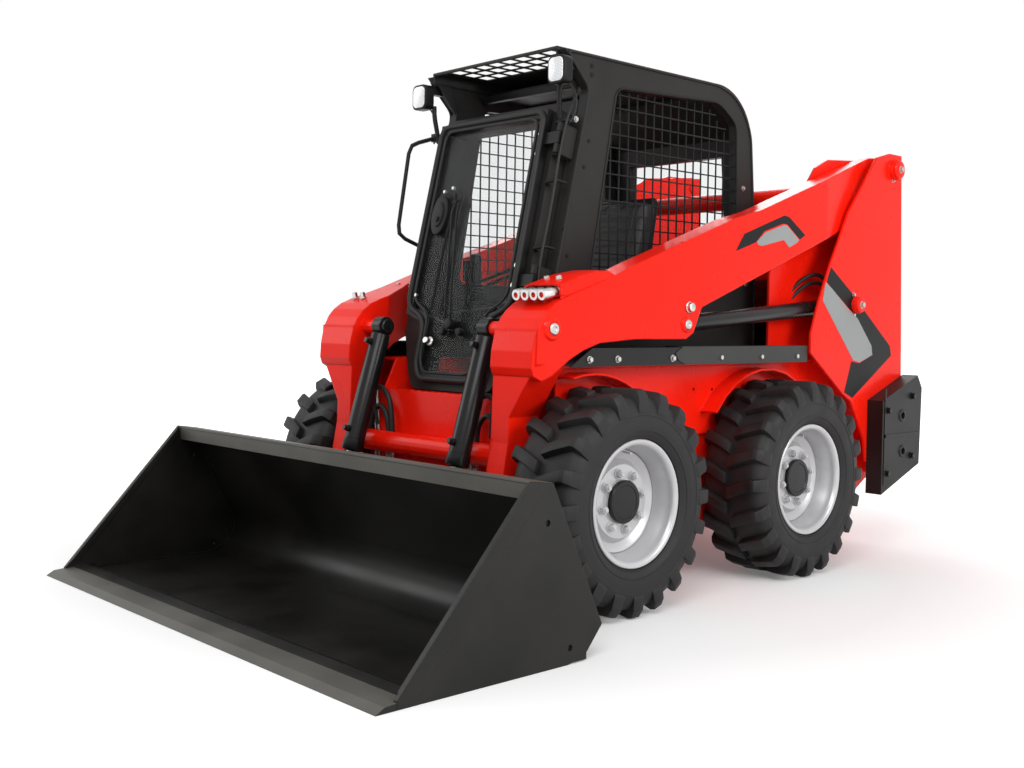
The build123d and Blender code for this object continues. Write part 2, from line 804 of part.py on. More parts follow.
# ---------------------------------------------------------------- hood and engine door
hood_front_y = hood_hinge[0] - 18
hood_rear_y = y_at(1645)
hood_rear_z = 1130.0
with BuildPart() as hood:
    with BuildSketch(side_plane(-hood_half)):
        Polygon(
            (hood_front_y, hood_hinge[1] - 60),
            (hood_front_y, hood_hinge[1] + 10),
            (hood_rear_y - 160, hood_rear_z + 80),
            (hood_rear_y, hood_rear_z),
            (hood_rear_y, hood_rear_z - 50),
            align=None,
        )
    extrude(amount=2 * hood_half)
    with BuildSketch(side_plane(-hood_half + hood_wall)):
        Polygon(
            (hood_front_y + hood_wall, hood_hinge[1] - 90),
            (hood_front_y + hood_wall, hood_hinge[1] + 2),
            (hood_rear_y - 164, hood_rear_z + 70),
            (hood_rear_y - hood_wall, hood_rear_z - 6),
            (hood_rear_y - hood_wall, hood_rear_z - 90),
            align=None,
        )
    extrude(amount=2 * (hood_half - hood_wall), mode=Mode.SUBTRACT)
    with BuildSketch(side_plane(hood_half - hood_wall)):
        with Locations(hood_hinge):
            Circle(hinge_pin_radius + pin_play)
    extrude(amount=hood_wall, mode=Mode.SUBTRACT)
    with BuildSketch(side_plane(-hood_half)):
        with Locations(hood_hinge):
            RegularPolygon(across_flats(hinge_pin_radius + pin_play, 8), 8)
    extrude(amount=hood_wall, mode=Mode.SUBTRACT)
write(hood.part, "hood")

engine_door_y = frame_rear_y + 18
engine_door_half = hood_half - 24
engine_door_low = 580.0
engine_door_high = hood_rear_z - 60
louvres = 7
with BuildPart() as engine_door:
    with BuildSketch(side_plane(-engine_door_half)):
        Polygon(
            (engine_door_y, engine_door_low),
            (engine_door_y, engine_door_high),
            (engine_door_y + 32, engine_door_high),
            (engine_door_y + 62, engine_door_high - 40),
            (engine_door_y + 62, engine_door_low),
            align=None,
        )
    extrude(amount=2 * engine_door_half)
    with BuildSketch(Plane.XZ.offset(-engine_door_y)):
        with Locations((0, (engine_door_low + engine_door_high) / 2 + 20)):
            with GridLocations(0, 48, 1, louvres):
                Rectangle(620, 26)
    extrude(amount=-70, mode=Mode.SUBTRACT)
    for height in engine_hinge_heights:
        with BuildSketch(Plane.XY.offset(height - 15)):
            with Locations(((engine_door_half + engine_hinge[0]) / 2 + 2, engine_hinge[1])):
                Rectangle(engine_hinge[0] - engine_door_half + 16, 16)
        extrude(amount=30)
        with BuildSketch(Plane.XY.offset(height - 15)):
            with Locations(engine_hinge):
                Circle(hinge_pin_radius + pin_play)
        extrude(amount=30, mode=Mode.SUBTRACT)
write(engine_door.part, "engine_door")

# ---------------------------------------------------------------- lift arms
arm_side = place(
    (1600, 1818), (1440, 1804), (1220, 1732), (551, 1499), (368, 1451), (-215, 1249), (-431, 1168), (-600, 1112),
    (-650, 1092), (-688, 1066), (-716, 1036), (-740, 993), (-757, 923), (-761, 866), (-750, 838), (-716, 820),
    (-667, 838), (-582, 893), (-515, 925), (-426, 952), (-235, 966), (65, 966), (110, 990), (135, 1040),
    (160, 1090), (700, 1283), (1500, 1570), (1600, 1660), (1640, 1740), (1636, 1790),
)
leg_side = place(
    (-640, 1000), (-740, 1000), (-754, 600), (-838, 160), (-824, 112), (-778, 90), (-732, 110), (-718, 150),
    (-604, 600), (-604, 860),
)
slot_half = lift_bore + gap
with BuildPart() as arm_beam:
    with BuildSketch(side_plane(knee_in)):
        Polygon(*arm_side, align=None)
    extrude(amount=arm_out - knee_in)
    with BuildSketch(Plane.XY.offset(700)):
        Polygon(
            (knee_in, y_at(-800)),
            (arm_out - 14, y_at(-800)),
            (arm_out, y_at(-700)),
            (arm_out, y_at(1040)),
            (arm_rear_out, y_at(1400)),
            (arm_rear_out, y_at(1700)),
            (arm_in, y_at(1700)),
            (arm_in, y_at(-330)),
            (knee_in, y_at(-560)),
            align=None,
        )
    extrude(amount=1300, mode=Mode.INTERSECT)
with BuildPart() as leg:
    with BuildSketch(side_plane(knee_in)):
        Polygon(*leg_side, align=None)
    extrude(amount=arm_out - knee_in)
    with BuildSketch(Plane.XZ.offset(-y_at(-520))):
        Polygon(
            (knee_in, 60),
            (leg_out, 60),
            (leg_out, 690),
            (arm_out - 60, 790),
            (arm_out, 880),
            (arm_out, 1040),
            (knee_in, 1040),
            align=None,
        )
    extrude(amount=400, mode=Mode.INTERSECT)
with BuildPart() as arm_left:
    add(arm_beam.part)
    add(leg.part)
    # slot between the side plates for the lift cylinder's rod eye
    with BuildSketch(side_plane(lift_x - slot_half)):
        Polygon(*place((-10, 940), (-10, 1075), (176, 1090), (176, 940)), align=None)
    extrude(amount=2 * slot_half, mode=Mode.SUBTRACT)
    # stubs of the lift rod's pin in both ears, and the tilt cylinder's top pin
    for inner, outer in ((arm_in - 8, lift_x - slot_half), (lift_x + slot_half, arm_out + 8)):
        with BuildSketch(side_plane(inner)):
            with Locations(lift_rod_pin):
                RegularPolygon(pin_radius + 7, 10)
        extrude(amount=outer - inner)
    with BuildSketch(side_plane(tilt_x - eye_half - 8)):
        with Locations(tilt_top):
            RegularPolygon(pin_radius, 12)
    extrude(amount=knee_in + 2 - tilt_x + eye_half + 8)
    for inner, length, radius in (
        (tilt_x - eye_half - 8, 6, 28), (tilt_x + eye_half + 2, knee_in - tilt_x - eye_half, 28), (arm_out - 1, 11, 30),
    ):
        with BuildSketch(side_plane(inner)):
            with Locations(tilt_top):
                RegularPolygon(radius, 10)
        extrude(amount=length)
# holes for the pins at the rear pivot and at the foot
with BuildPart() as arm_right:
    add(mirrored(arm_left.part))
    with BuildSketch(side_plane(-arm_out - 1)):
        with Locations(arm_pivot):
            RegularPolygon(across_flats(pivot_pin_radius + pin_play, 12), 12)
        with Locations(coupler_pin):
            RegularPolygon(across_flats(coupler_pin_radius + pin_play, 12), 12)
    extrude(amount=arm_out - knee_in + 2, mode=Mode.SUBTRACT)
write(arm_right.part, "arm_right")
# a cover over the auxiliary couplers, pressed from sheet and welded to the left knee
cover_in = cab_half + 50.0        # clear of the lamps as the arm passes them
cover_out = arm_out - 8.0
cover_sheet = 6.0
cover_top = place((-625, 1152), (-590, 1166), (-520, 1190), (-440, 1208), (-370, 1210), (-326, 1192))
cover_foot = place((-326, 1130), (-440, 1110), (-560, 1090), (-618, 1080))
with BuildPart() as cover:
    with BuildSketch(side_plane(cover_in)):
        Polygon(*cover_top, *cover_foot, align=None)
    extrude(amount=cover_out - cover_in)
    with BuildSketch(side_plane(cover_in + cover_sheet)):
        Polygon(*[(y - 12, z - cover_sheet) for y, z in cover_top], *[(y - 12, z - 6) for y, z in cover_foot], align=None)
    extrude(amount=cover_out - cover_in - 2 * cover_sheet, mode=Mode.SUBTRACT)
    with BuildSketch(Plane.XY.offset(1000)):
        Polygon(
            (cover_in, y_at(-640)), (arm_out, y_at(-640)), (arm_out, y_at(-300)), (arm_in - 2, y_at(-320)),
            (cover_in, y_at(-600)),
            align=None,
        )
    extrude(amount=300, mode=Mode.INTERSECT)
coupling_line = place((-480, 1150), (-684, 1118))
with BuildPart() as arm_guarded:
    add(arm_left.part)
    with BuildSketch(side_plane(knee_in - 1)):
        with Locations(arm_pivot):
            Circle(pivot_pin_radius + pin_play)
        with Locations(coupler_pin):
            Circle(coupler_pin_radius + pin_play)
    extrude(amount=arm_out - knee_in + 2, mode=Mode.SUBTRACT)
    add(cover.part)
    for x in (cover_in + 26, cover_in + 70, cover_in + 114, cover_in + 154):
        coupling_way = Vector(0, coupling_line[1][0] - coupling_line[0][0], coupling_line[1][1] - coupling_line[0][1])
        with BuildSketch(Plane(origin=(x, *coupling_line[0]), x_dir=(1, 0, 0), z_dir=coupling_way)):
            RegularPolygon(15, 6)
        extrude(amount=coupling_way.length)
write(arm_guarded.part, "arm_left")

# cross tubes between the arms: one behind the cab, one between the knees' feet
with BuildPart() as arm_cross_tubes:
    for spot, reach, radius in ((place((930, 1588))[0], arm_in, 40), (place((-702, 540))[0], knee_in, 42)):
        with BuildSketch(side_plane(-reach + seat_gap)):
            with Locations(spot):
                RegularPolygon(radius, 16)
        extrude(amount=2 * reach - 2 * seat_gap)
write(arm_cross_tubes.part, "arm_cross_tubes")

# ---------------------------------------------------------------- coupler and bucket
back_lean = radians(wall_lean)
wall_up = Vector(-sin(back_lean), cos(back_lean))
wall_out = Vector(cos(back_lean), sin(back_lean))


def on_wall(along, out):
    """Point in the (y, z) plane, along and out from the bucket's back face."""
    point = Vector(*wall_foot) + wall_up * along + wall_out * out
    return (point.X, point.Y)


wall_top = (bucket_top_z - 11 - wall_foot[1]) / cos(back_lean)
heel_y = wall_foot[0] - (heel_radius + (heel_radius - wall_foot[1]) * sin(back_lean)) / cos(back_lean)
heel_end = (heel_y + heel_radius * cos(back_lean), heel_radius + heel_radius * sin(back_lean))
inner_r = heel_radius - bucket_plate
inner_end = (heel_y + inner_r * cos(back_lean), heel_radius + inner_r * sin(back_lean))
mid_angle = radians((wall_lean - 90) / 2)
top_out = on_wall(wall_top, 0)
top_in = on_wall(wall_top, -bucket_plate)
lip_front = (top_out[0] - 84, bucket_top_z)
edge_length = 160.0
with BuildPart() as bucket:
    # floor, heel, back and folded top lip in one sheet
    with BuildSketch(side_plane(-bucket_width / 2)):
        with BuildLine():
            Polyline((tip_y + 100, 0), (heel_y, 0))
            ThreePointArc(
                (heel_y, 0),
                (heel_y + heel_radius * cos(mid_angle), heel_radius + heel_radius * sin(mid_angle)),
                heel_end,
            )
            Polyline(
                heel_end,
                top_out,
                lip_front,
                (lip_front[0], lip_front[1] - bucket_plate),
                (top_in[0], top_in[1] - bucket_plate),
                inner_end,
            )
            ThreePointArc(
                inner_end,
                (heel_y + inner_r * cos(mid_angle), heel_radius + inner_r * sin(mid_angle)),
                (heel_y, bucket_plate),
            )
            Polyline((heel_y, bucket_plate), (tip_y + 100, bucket_plate), (tip_y + 100, 0))
        make_face()
    extrude(amount=bucket_width)
    # cutting edge
    with BuildSketch(side_plane(-bucket_width / 2)):
        Polygon((tip_y, 0), (tip_y + 30, 16), (tip_y + edge_length, 26), (tip_y + edge_length, 0), align=None)
    extrude(amount=bucket_width)
    # side plates, with holes for a bolt-on side cutter
    for sign in (1, -1):
        with BuildSketch(side_plane(sign * bucket_width / 2)):
            Polygon(
                (tip_y + 70, 4),
                (tip_y + 70, 24),
                lip_front,
                top_out,
                wall_foot,
                (wall_foot[0] - 68, 24),
                (wall_foot[0] - 68, 4),
                align=None,
            )
            with Locations(*bucket_holes):
                Circle(bucket_hole_radius, mode=Mode.SUBTRACT)
        extrude(amount=-sign * bucket_side)
write(bucket.part, "bucket")

ear = 20.0
ear_head = 380.0                  # how far up the back wall the coupler reaches
foot_ears = (knee_in - gap - ear, leg_out + gap)
tilt_ears = (tilt_x - eye_half - gap - ear, tilt_x + eye_half + gap)
coupler_half = leg_out + gap + ear
with BuildPart() as coupler:
    # plate on the bucket's back
    with BuildSketch(side_plane(-coupler_half)):
        Polygon(
            on_wall(0, seat_gap), on_wall(ear_head, seat_gap), on_wall(ear_head, 12), on_wall(0, 12), align=None,
        )
    extrude(amount=2 * coupler_half)
    for sign in (1, -1):
        # ears each side of the arm's foot, and the foot pin through them
        for inner in foot_ears:
            with BuildSketch(side_plane(sign * inner)):
                Polygon(
                    on_wall(0, 8),
                    on_wall(250, 8),
                    (coupler_pin[0] + 10, coupler_pin[1] + 48),
                    (coupler_pin[0] + 46, coupler_pin[1] + 14),
                    (coupler_pin[0] + 46, coupler_pin[1] - 14),
                    (coupler_pin[0] + 10, coupler_pin[1] - 48),
                    align=None,
                )
            extrude(amount=sign * ear)
        with BuildSketch(side_plane(sign * foot_ears[0])):
            with Locations(coupler_pin):
                RegularPolygon(coupler_pin_radius, 12)
        extrude(amount=sign * (coupler_half - foot_ears[0] + 6))
        # ears each side of the tilt cylinder's rod eye, with the heads of its pin
        for inner in tilt_ears:
            with BuildSketch(side_plane(sign * inner)):
                Polygon(
                    on_wall(40, 8),
                    on_wall(ear_head - 5, 8),
                    (tilt_pin[0] + 14, tilt_pin[1] + 40),
                    (tilt_pin[0] + 40, tilt_pin[1]),
                    (tilt_pin[0] + 14, tilt_pin[1] - 40),
                    align=None,
                )
            extrude(amount=sign * ear)
        for inner in (tilt_ears[0] - 8, tilt_ears[1] + ear - 1):
            with BuildSketch(side_plane(sign * inner)):
                with Locations(tilt_pin):
                    RegularPolygon(pin_radius + 4, 10)
            extrude(amount=sign * 9)
write(coupler.part, "coupler")


# ---------------------------------------------------------------- cylinders
def cylinder(start, end, x, barrel_radius, rod_radius, in_travel, pin_half, name):
    """A barrel with its base eye at start, and a rod with its eye at end."""
    span = hypot(end[0] - start[0], end[1] - start[1])
    along = Vector(0, end[0] - start[0], end[1] - start[1])
    axis_plane = Plane(origin=(x, *start), x_dir=(1, 0, 0), z_dir=along)
    eye_radius = 32.0
    barrel_end = span - in_travel - ear_reach - gap
    bore_foot = 44.0
    rod_start = bore_foot + in_travel + 4
    with BuildPart() as barrel:
        with BuildSketch(axis_plane.offset(34)):
            RegularPolygon(barrel_radius, 14)
        extrude(amount=barrel_end - 34)
        with BuildSketch(side_plane(x - eye_half)):
            with Locations(start):
                RegularPolygon(eye_radius + 6, 12)
        extrude(amount=2 * eye_half)
        with BuildSketch(axis_plane.offset(bore_foot)):
            RegularPolygon(rod_radius + seat_gap, 10)
        extrude(amount=barrel_end - bore_foot, mode=Mode.SUBTRACT)
        with BuildSketch(side_plane(x - eye_half)):
            with Locations(start):
                Circle(pin_radius + pin_play)
        extrude(amount=2 * eye_half, mode=Mode.SUBTRACT)
    # the rod's eye carries its own pin, which stops just short of the ears
    with BuildPart() as rod:
        with BuildSketch(axis_plane.offset(rod_start)):
            RegularPolygon(rod_radius, 10)
        extrude(amount=span - rod_start - 10)
        with BuildSketch(side_plane(x - eye_half)):
            with Locations(end):
                RegularPolygon(eye_radius, 12)
        extrude(amount=2 * eye_half)
        with BuildSketch(side_plane(x - pin_half)):
            with Locations(end):
                RegularPolygon(pin_radius, 12)
        extrude(amount=2 * pin_half)
    for side, sign in (("left", 1), ("right", -1)):
        for piece, label in ((barrel, "barrel"), (rod, "rod")):
            with BuildPart() as copy:
                add(piece.part if sign > 0 else mirrored(piece.part))
            write(copy.part, f"{name}_{label}_{side}")


cylinder(lift_base, lift_rod_pin, lift_x, lift_bore, lift_rod, 0.0, slot_half - seat_gap, "lift")
cylinder(tilt_top, tilt_pin, tilt_x, tilt_bore, tilt_rod, tilt_in_travel, eye_half + gap - seat_gap, "tilt")
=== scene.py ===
import json
import math

import bmesh
import bpy
from mathutils import Matrix, Vector


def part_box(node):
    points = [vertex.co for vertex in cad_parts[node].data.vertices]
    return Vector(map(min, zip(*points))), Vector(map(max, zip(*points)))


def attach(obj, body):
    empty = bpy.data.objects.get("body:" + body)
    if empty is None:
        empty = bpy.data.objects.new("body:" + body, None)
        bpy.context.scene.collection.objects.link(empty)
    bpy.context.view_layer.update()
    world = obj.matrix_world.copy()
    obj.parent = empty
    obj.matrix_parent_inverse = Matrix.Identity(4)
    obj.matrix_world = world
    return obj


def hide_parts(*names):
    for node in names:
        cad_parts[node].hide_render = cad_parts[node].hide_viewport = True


bl_info = {
    "name": "Skid Steer Loader Dresser",
    "version": (1, 0, 0),
    "blender": (4, 5, 0),
    "location": "View3D > Sidebar > Loader",
    "description": "Dresses a skid steer loader with its finishes, fittings and studio",
    "category": "Object",
}

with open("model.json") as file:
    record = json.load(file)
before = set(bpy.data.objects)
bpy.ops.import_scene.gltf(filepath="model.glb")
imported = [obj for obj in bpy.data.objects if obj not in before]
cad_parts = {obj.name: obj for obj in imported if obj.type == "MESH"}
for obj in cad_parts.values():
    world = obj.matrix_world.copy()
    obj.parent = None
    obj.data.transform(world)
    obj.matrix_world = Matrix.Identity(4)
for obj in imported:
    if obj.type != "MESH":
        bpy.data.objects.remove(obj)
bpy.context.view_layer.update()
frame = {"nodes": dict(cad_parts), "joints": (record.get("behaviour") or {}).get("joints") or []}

# ------------------------------------------------------------------ settings


class LoaderColours(bpy.types.PropertyGroup):
    """Colours of the loader's finishes."""

    red: bpy.props.FloatVectorProperty(
        name="Red enamel", description="Colour of the arms, uprights and tub",
        subtype="COLOR", size=3, default=(0.90, 0.012, 0.003), min=0, max=1)
    black: bpy.props.FloatVectorProperty(
        name="Black coat", description="Colour of the cab and the bucket",
        subtype="COLOR", size=3, default=(0.007, 0.007, 0.007), min=0, max=1)
    cab_grey: bpy.props.FloatVectorProperty(
        name="Cab coat", description="Colour of the cab's flat walls",
        subtype="COLOR", size=3, default=(0.019, 0.018, 0.0175), min=0, max=1)
    silver: bpy.props.FloatVectorProperty(
        name="Rim silver", description="Colour of the wheel rims",
        subtype="COLOR", size=3, default=(0.50, 0.50, 0.51), min=0, max=1)
    stripe_grey: bpy.props.FloatVectorProperty(
        name="Stripe grey", description="Colour of the grey panels in the stripes",
        subtype="COLOR", size=3, default=(0.26, 0.27, 0.27), min=0, max=1)
    rubber: bpy.props.FloatVectorProperty(
        name="Rubber", description="Colour of the tyres and hoses",
        subtype="COLOR", size=3, default=(0.0065, 0.006, 0.0062), min=0, max=1)


class LoaderSizes(bpy.types.PropertyGroup):
    """Sizes of the fittings."""

    tyre_radius: bpy.props.FloatProperty(
        name="Tyre radius", description="Radius to the tips of the lugs",
        subtype="DISTANCE", unit="LENGTH", default=0.4, min=0.1)
    tyre_width: bpy.props.FloatProperty(
        name="Tyre width", description="Width over the lugs' ends",
        subtype="DISTANCE", unit="LENGTH", default=0.3, min=0.05)
    bolt: bpy.props.FloatProperty(
        name="Bolt head", description="Half width across a bolt head's corners",
        subtype="DISTANCE", unit="LENGTH", default=0.015, min=0.002)
    wheel_nut: bpy.props.FloatProperty(
        name="Wheel nut", description="Half width across a wheel nut's corners",
        subtype="DISTANCE", unit="LENGTH", default=0.019, min=0.002)
    stripe_lift: bpy.props.FloatProperty(
        name="Stripe thickness", description="How far a stripe stands off the paint",
        subtype="DISTANCE", unit="LENGTH", default=0.0008, min=0.0001)


def colours():
    return bpy.context.scene.loader_colours


def sizes():
    return bpy.context.scene.loader_sizes


# ------------------------------------------------------------------ materials
finishes = {}


def new_finish(name):
    """A material with a Principled shader; returns (material, nodes, links, shader)."""
    finish = bpy.data.materials.new(name)
    finish.use_nodes = True
    nodes, links = finish.node_tree.nodes, finish.node_tree.links
    nodes.clear()
    shader = nodes.new("ShaderNodeBsdfPrincipled")
    output = nodes.new("ShaderNodeOutputMaterial")
    links.new(shader.outputs["BSDF"], output.inputs["Surface"])
    finishes[name] = finish
    return finish, nodes, links, shader


def noise_of(nodes, links, scale, detail=3.0, rough=0.55, coords=None):
    """Noise over the piece's own coordinates, in cycles per metre."""
    if coords is None:
        coords = nodes.new("ShaderNodeTexCoord").outputs["Object"]
    noise = nodes.new("ShaderNodeTexNoise")
    noise.inputs["Scale"].default_value = scale
    noise.inputs["Detail"].default_value = detail
    noise.inputs["Roughness"].default_value = rough
    links.new(coords, noise.inputs["Vector"])
    return noise


def spread(nodes, links, source, low, high, start=0.3, end=0.7):
    """Maps a noise value from start..end on to low..high."""
    span = nodes.new("ShaderNodeMapRange")
    span.inputs["From Min"].default_value = start
    span.inputs["From Max"].default_value = end
    span.inputs["To Min"].default_value = low
    span.inputs["To Max"].default_value = high
    links.new(source, span.inputs["Value"])
    return span.outputs["Result"]


def mottled(nodes, links, source, dark, light, start=0.35, end=0.65):
    """A colour that runs from dark to light with the noise."""
    ramp = nodes.new("ShaderNodeValToRGB")
    ramp.color_ramp.elements[0].position = start
    ramp.color_ramp.elements[0].color = (*dark, 1)
    ramp.color_ramp.elements[1].position = end
    ramp.color_ramp.elements[1].color = (*light, 1)
    links.new(source, ramp.inputs["Fac"])
    return ramp.outputs["Color"]


def bumped(nodes, links, shader, source, strength, distance):
    bump = nodes.new("ShaderNodeBump")
    bump.inputs["Strength"].default_value = strength
    bump.inputs["Distance"].default_value = distance
    links.new(source, bump.inputs["Height"])
    links.new(bump.outputs["Normal"], shader.inputs["Normal"])
    return bump


def shade(colour, factor):
    return tuple(min(1.0, channel * factor) for channel in colour)


def sprayed_finish(name, colour, rough, coat, peel=0.12, metallic=0.0, dust=0.1, gloss=0.35, soften=0.0):
    """Sprayed paint: slight orange peel, faint mottling and uneven gloss."""
    finish, nodes, links, shader = new_finish(name)
    broad = noise_of(nodes, links, 3.5, detail=5.0)
    fine = noise_of(nodes, links, 420.0, detail=2.0)
    tint = mottled(nodes, links, broad.outputs["Fac"], shade(colour, 1 - dust), shade(colour, 1 + dust))
    links.new(tint, shader.inputs["Base Color"])
    links.new(spread(nodes, links, broad.outputs["Fac"], rough * 0.85, rough * 1.2),
              shader.inputs["Roughness"])
    bump = bumped(nodes, links, shader, fine.outputs["Fac"], peel, 0.0004)
    if soften:
        # paint runs thin over an edge, so sharp corners catch the light as a narrow round
        corner = nodes.new("ShaderNodeBevel")
        corner.samples = 4
        corner.inputs["Radius"].default_value = soften
        links.new(corner.outputs["Normal"], bump.inputs["Normal"])
    shader.inputs["Metallic"].default_value = metallic
    shader.inputs["Specular IOR Level"].default_value = gloss
    shader.inputs["Coat Weight"].default_value = coat
    shader.inputs["Coat Roughness"].default_value = 0.08
    return finish


def rubber_finish(name, colour):
    finish, nodes, links, shader = new_finish(name)
    shader.inputs["Specular IOR Level"].default_value = 0.35
    broad = noise_of(nodes, links, 14.0, detail=6.0)
    fine = noise_of(nodes, links, 900.0, detail=2.0)
    tint = mottled(nodes, links, broad.outputs["Fac"], shade(colour, 0.8), shade(colour, 1.7))
    links.new(tint, shader.inputs["Base Color"])
    links.new(spread(nodes, links, broad.outputs["Fac"], 0.5, 0.68), shader.inputs["Roughness"])
    bumped(nodes, links, shader, fine.outputs["Fac"], 0.25, 0.0005)
    return finish


def bare_metal_finish(name, colour, rough, stretch=(1, 1, 1)):
    """Bright metal with drawn or turned marks along one way."""
    finish, nodes, links, shader = new_finish(name)
    coords = nodes.new("ShaderNodeTexCoord").outputs["Object"]
    along = nodes.new("ShaderNodeMapping")
    along.inputs["Scale"].default_value = stretch
    links.new(coords, along.inputs["Vector"])
    marks = noise_of(nodes, links, 260.0, detail=3.0, coords=along.outputs["Vector"])
    tint = mottled(nodes, links, marks.outputs["Fac"], shade(colour, 0.9), shade(colour, 1.06))
    links.new(tint, shader.inputs["Base Color"])
    links.new(spread(nodes, links, marks.outputs["Fac"], rough * 0.8, rough * 1.3),
              shader.inputs["Roughness"])
    bumped(nodes, links, shader, marks.outputs["Fac"], 0.08, 0.0002)
    shader.inputs["Metallic"].default_value = 1.0
    return finish


def clear_glass_finish(name, tint):
    """Thin pane: mostly see-through, with a mirror-like skin that is strongest at a slant."""
    finish, nodes, links, shader = new_finish(name)
    smear = noise_of(nodes, links, 2.5, detail=3.0)
    links.new(spread(nodes, links, smear.outputs["Fac"], 0.0, 0.06), shader.inputs["Roughness"])
    shader.inputs["Base Color"].default_value = (0.05, 0.055, 0.055, 1)
    clear = nodes.new("ShaderNodeBsdfTransparent")
    links.new(mottled(nodes, links, smear.outputs["Fac"], shade(tint, 0.985), tint), clear.inputs["Color"])
    slant = nodes.new("ShaderNodeLayerWeight")
    slant.inputs["Blend"].default_value = 0.25
    pane = nodes.new("ShaderNodeMixShader")
    links.new(spread(nodes, links, slant.outputs["Facing"], 0.03, 0.55, start=0.1, end=1.0),
              pane.inputs["Fac"])
    links.new(clear.outputs["BSDF"], pane.inputs[1])
    links.new(shader.outputs["BSDF"], pane.inputs[2])
    output = next(node for node in nodes if node.bl_idname == "ShaderNodeOutputMaterial")
    links.new(pane.outputs["Shader"], output.inputs["Surface"])
    return finish


def lamp_lens_finish(name):
    finish, nodes, links, shader = new_finish(name)
    coords = nodes.new("ShaderNodeTexCoord").outputs["Object"]
    ribs = nodes.new("ShaderNodeTexWave")
    ribs.inputs["Scale"].default_value = 60.0
    ribs.bands_direction = "Z"
    links.new(coords, ribs.inputs["Vector"])
    links.new(mottled(nodes, links, ribs.outputs["Fac"], (0.62, 0.64, 0.65), (0.9, 0.91, 0.92)),
              shader.inputs["Base Color"])
    bumped(nodes, links, shader, ribs.outputs["Fac"], 0.4, 0.0008)
    shader.inputs["Roughness"].default_value = 0.08
    shader.inputs["Coat Weight"].default_value = 1.0
    return finish


def webbing_finish(name, colour):
    """Woven belt: fine ribs along one way."""
    finish, nodes, links, shader = new_finish(name)
    coords = nodes.new("ShaderNodeTexCoord").outputs["Object"]
    weave = nodes.new("ShaderNodeTexWave")
    weave.inputs["Scale"].default_value = 220.0
    weave.inputs["Distortion"].default_value = 0.6
    links.new(coords, weave.inputs["Vector"])
    links.new(mottled(nodes, links, weave.outputs["Fac"], shade(colour, 0.6), shade(colour, 1.8)),
              shader.inputs["Base Color"])
    bumped(nodes, links, shader, weave.outputs["Fac"], 0.5, 0.0006)
    shader.inputs["Roughness"].default_value = 0.8
    return finish


def make_finishes():
    tone = colours()
    red, black = tuple(tone.red), tuple(tone.black)
    sprayed_finish("red_enamel", red, 0.28, 0.06, peel=0.10, dust=0.04, gloss=0.13, soften=0.010)
    sprayed_finish("black_satin", black, 0.40, 0.0, peel=0.18, dust=0.25, gloss=0.18)
    sprayed_finish("cab_satin", tuple(tone.cab_grey), 0.45, 0.0, peel=0.25, dust=0.15, gloss=0.16,
                   soften=0.005)
    sprayed_finish("bucket_black", (0.0085, 0.008, 0.0072), 0.34, 0.0, peel=0.35, dust=0.35, gloss=0.26,
                   soften=0.003)
    # lighter grey: the blank plate's own steel, and the painted highlight on the bucket's cutting edge and lip
    sprayed_finish("steel_and_painted_highlight", (0.085, 0.083, 0.072), 0.45, 0.0, peel=0.3, metallic=0.25, dust=0.2)
    sprayed_finish("dark_enamel", (0.007, 0.007, 0.0073), 0.27, 0.0, peel=0.12, dust=0.2, gloss=0.24)
    sprayed_finish("rim_silver", tuple(tone.silver), 0.34, 0.3, peel=0.12, metallic=0.35, dust=0.06)
    sprayed_finish("stripe_black", (0.006, 0.006, 0.0065), 0.38, 0.0, peel=0.03, dust=0.05, gloss=0.15)
    sprayed_finish("stripe_grey", tuple(tone.stripe_grey), 0.4, 0.2, peel=0.03, dust=0.05)
    sprayed_finish("grained_plastic", (0.008, 0.008, 0.0085), 0.5, 0.0, peel=0.5, dust=0.15, gloss=0.18)
    sprayed_finish("engine_grey", (0.09, 0.09, 0.09), 0.6, 0.0, peel=0.7, dust=0.3)
    rubber_finish("tyre_rubber", tuple(tone.rubber))
    rubber_finish("hose_rubber", (0.008, 0.008, 0.008))
    bare_metal_finish("zinc_steel", (0.56, 0.55, 0.53), 0.3)
    bare_metal_finish("hard_chrome", (0.72, 0.73, 0.74), 0.12, stretch=(1, 1, 0.1))
    clear_glass_finish("clear_glass", (0.975, 0.985, 0.985))
    lamp_lens_finish("lamp_lens")
    sprayed_finish("tail_lens", (0.45, 0.008, 0.006), 0.15, 1.0, peel=0.02, dust=0.05)
    sprayed_finish("rail_grey", (0.040, 0.040, 0.039), 0.42, 0.0, peel=0.2, dust=0.15, gloss=0.2)
    sprayed_finish("weld_black", (0.006, 0.006, 0.006), 0.75, 0.0, peel=0.8, dust=0.3, gloss=0.1)
    sprayed_finish("cast_black", (0.010, 0.010, 0.010), 0.45, 0.0, peel=0.7, dust=0.3, gloss=0.25)
    sprayed_finish("seat_vinyl", (0.020, 0.020, 0.021), 0.48, 0.0, peel=0.6, dust=0.2)
    webbing_finish("belt_webbing", (0.012, 0.012, 0.013))


# ------------------------------------------------------------------ places, in metres
SIDES = (("left", 1), ("right", -1))
SAME_POINT = 1e-6            # points nearer than this are one
ARM_SIDE = 0.640             # outer face of a lift arm and of a step rail
POST_SIDE = 0.657            # outer face of an upright
BOSS_SIDE = 0.672            # outer face of the bosses on an upright
CAB_SIDE = 0.402             # outer face of the cab's side
KNEE_PIN = (-0.672, 1.001)
ROD_PIN = (0.066, 1.022)     # where a lift rod meets the arm
ARM_PIVOT = (1.577, 1.757)
LIFT_BASE = (1.266, 1.121)   # where a lift cylinder meets the upright
LAMP_Z = 1.961               # height of the work lamps
BARREL_RADIUS = {"lift": 0.034, "tilt": 0.040}
WHEEL_NUTS = 8
NUT_CIRCLE = 0.1016          # radius of the circle of wheel nuts
PAD_SWELL = 0.010            # how far the seat's pads may puff out
CHANNEL_PITCH = 62           # from one sewn channel to the next, in mm

# ------------------------------------------------------------------ mesh helpers


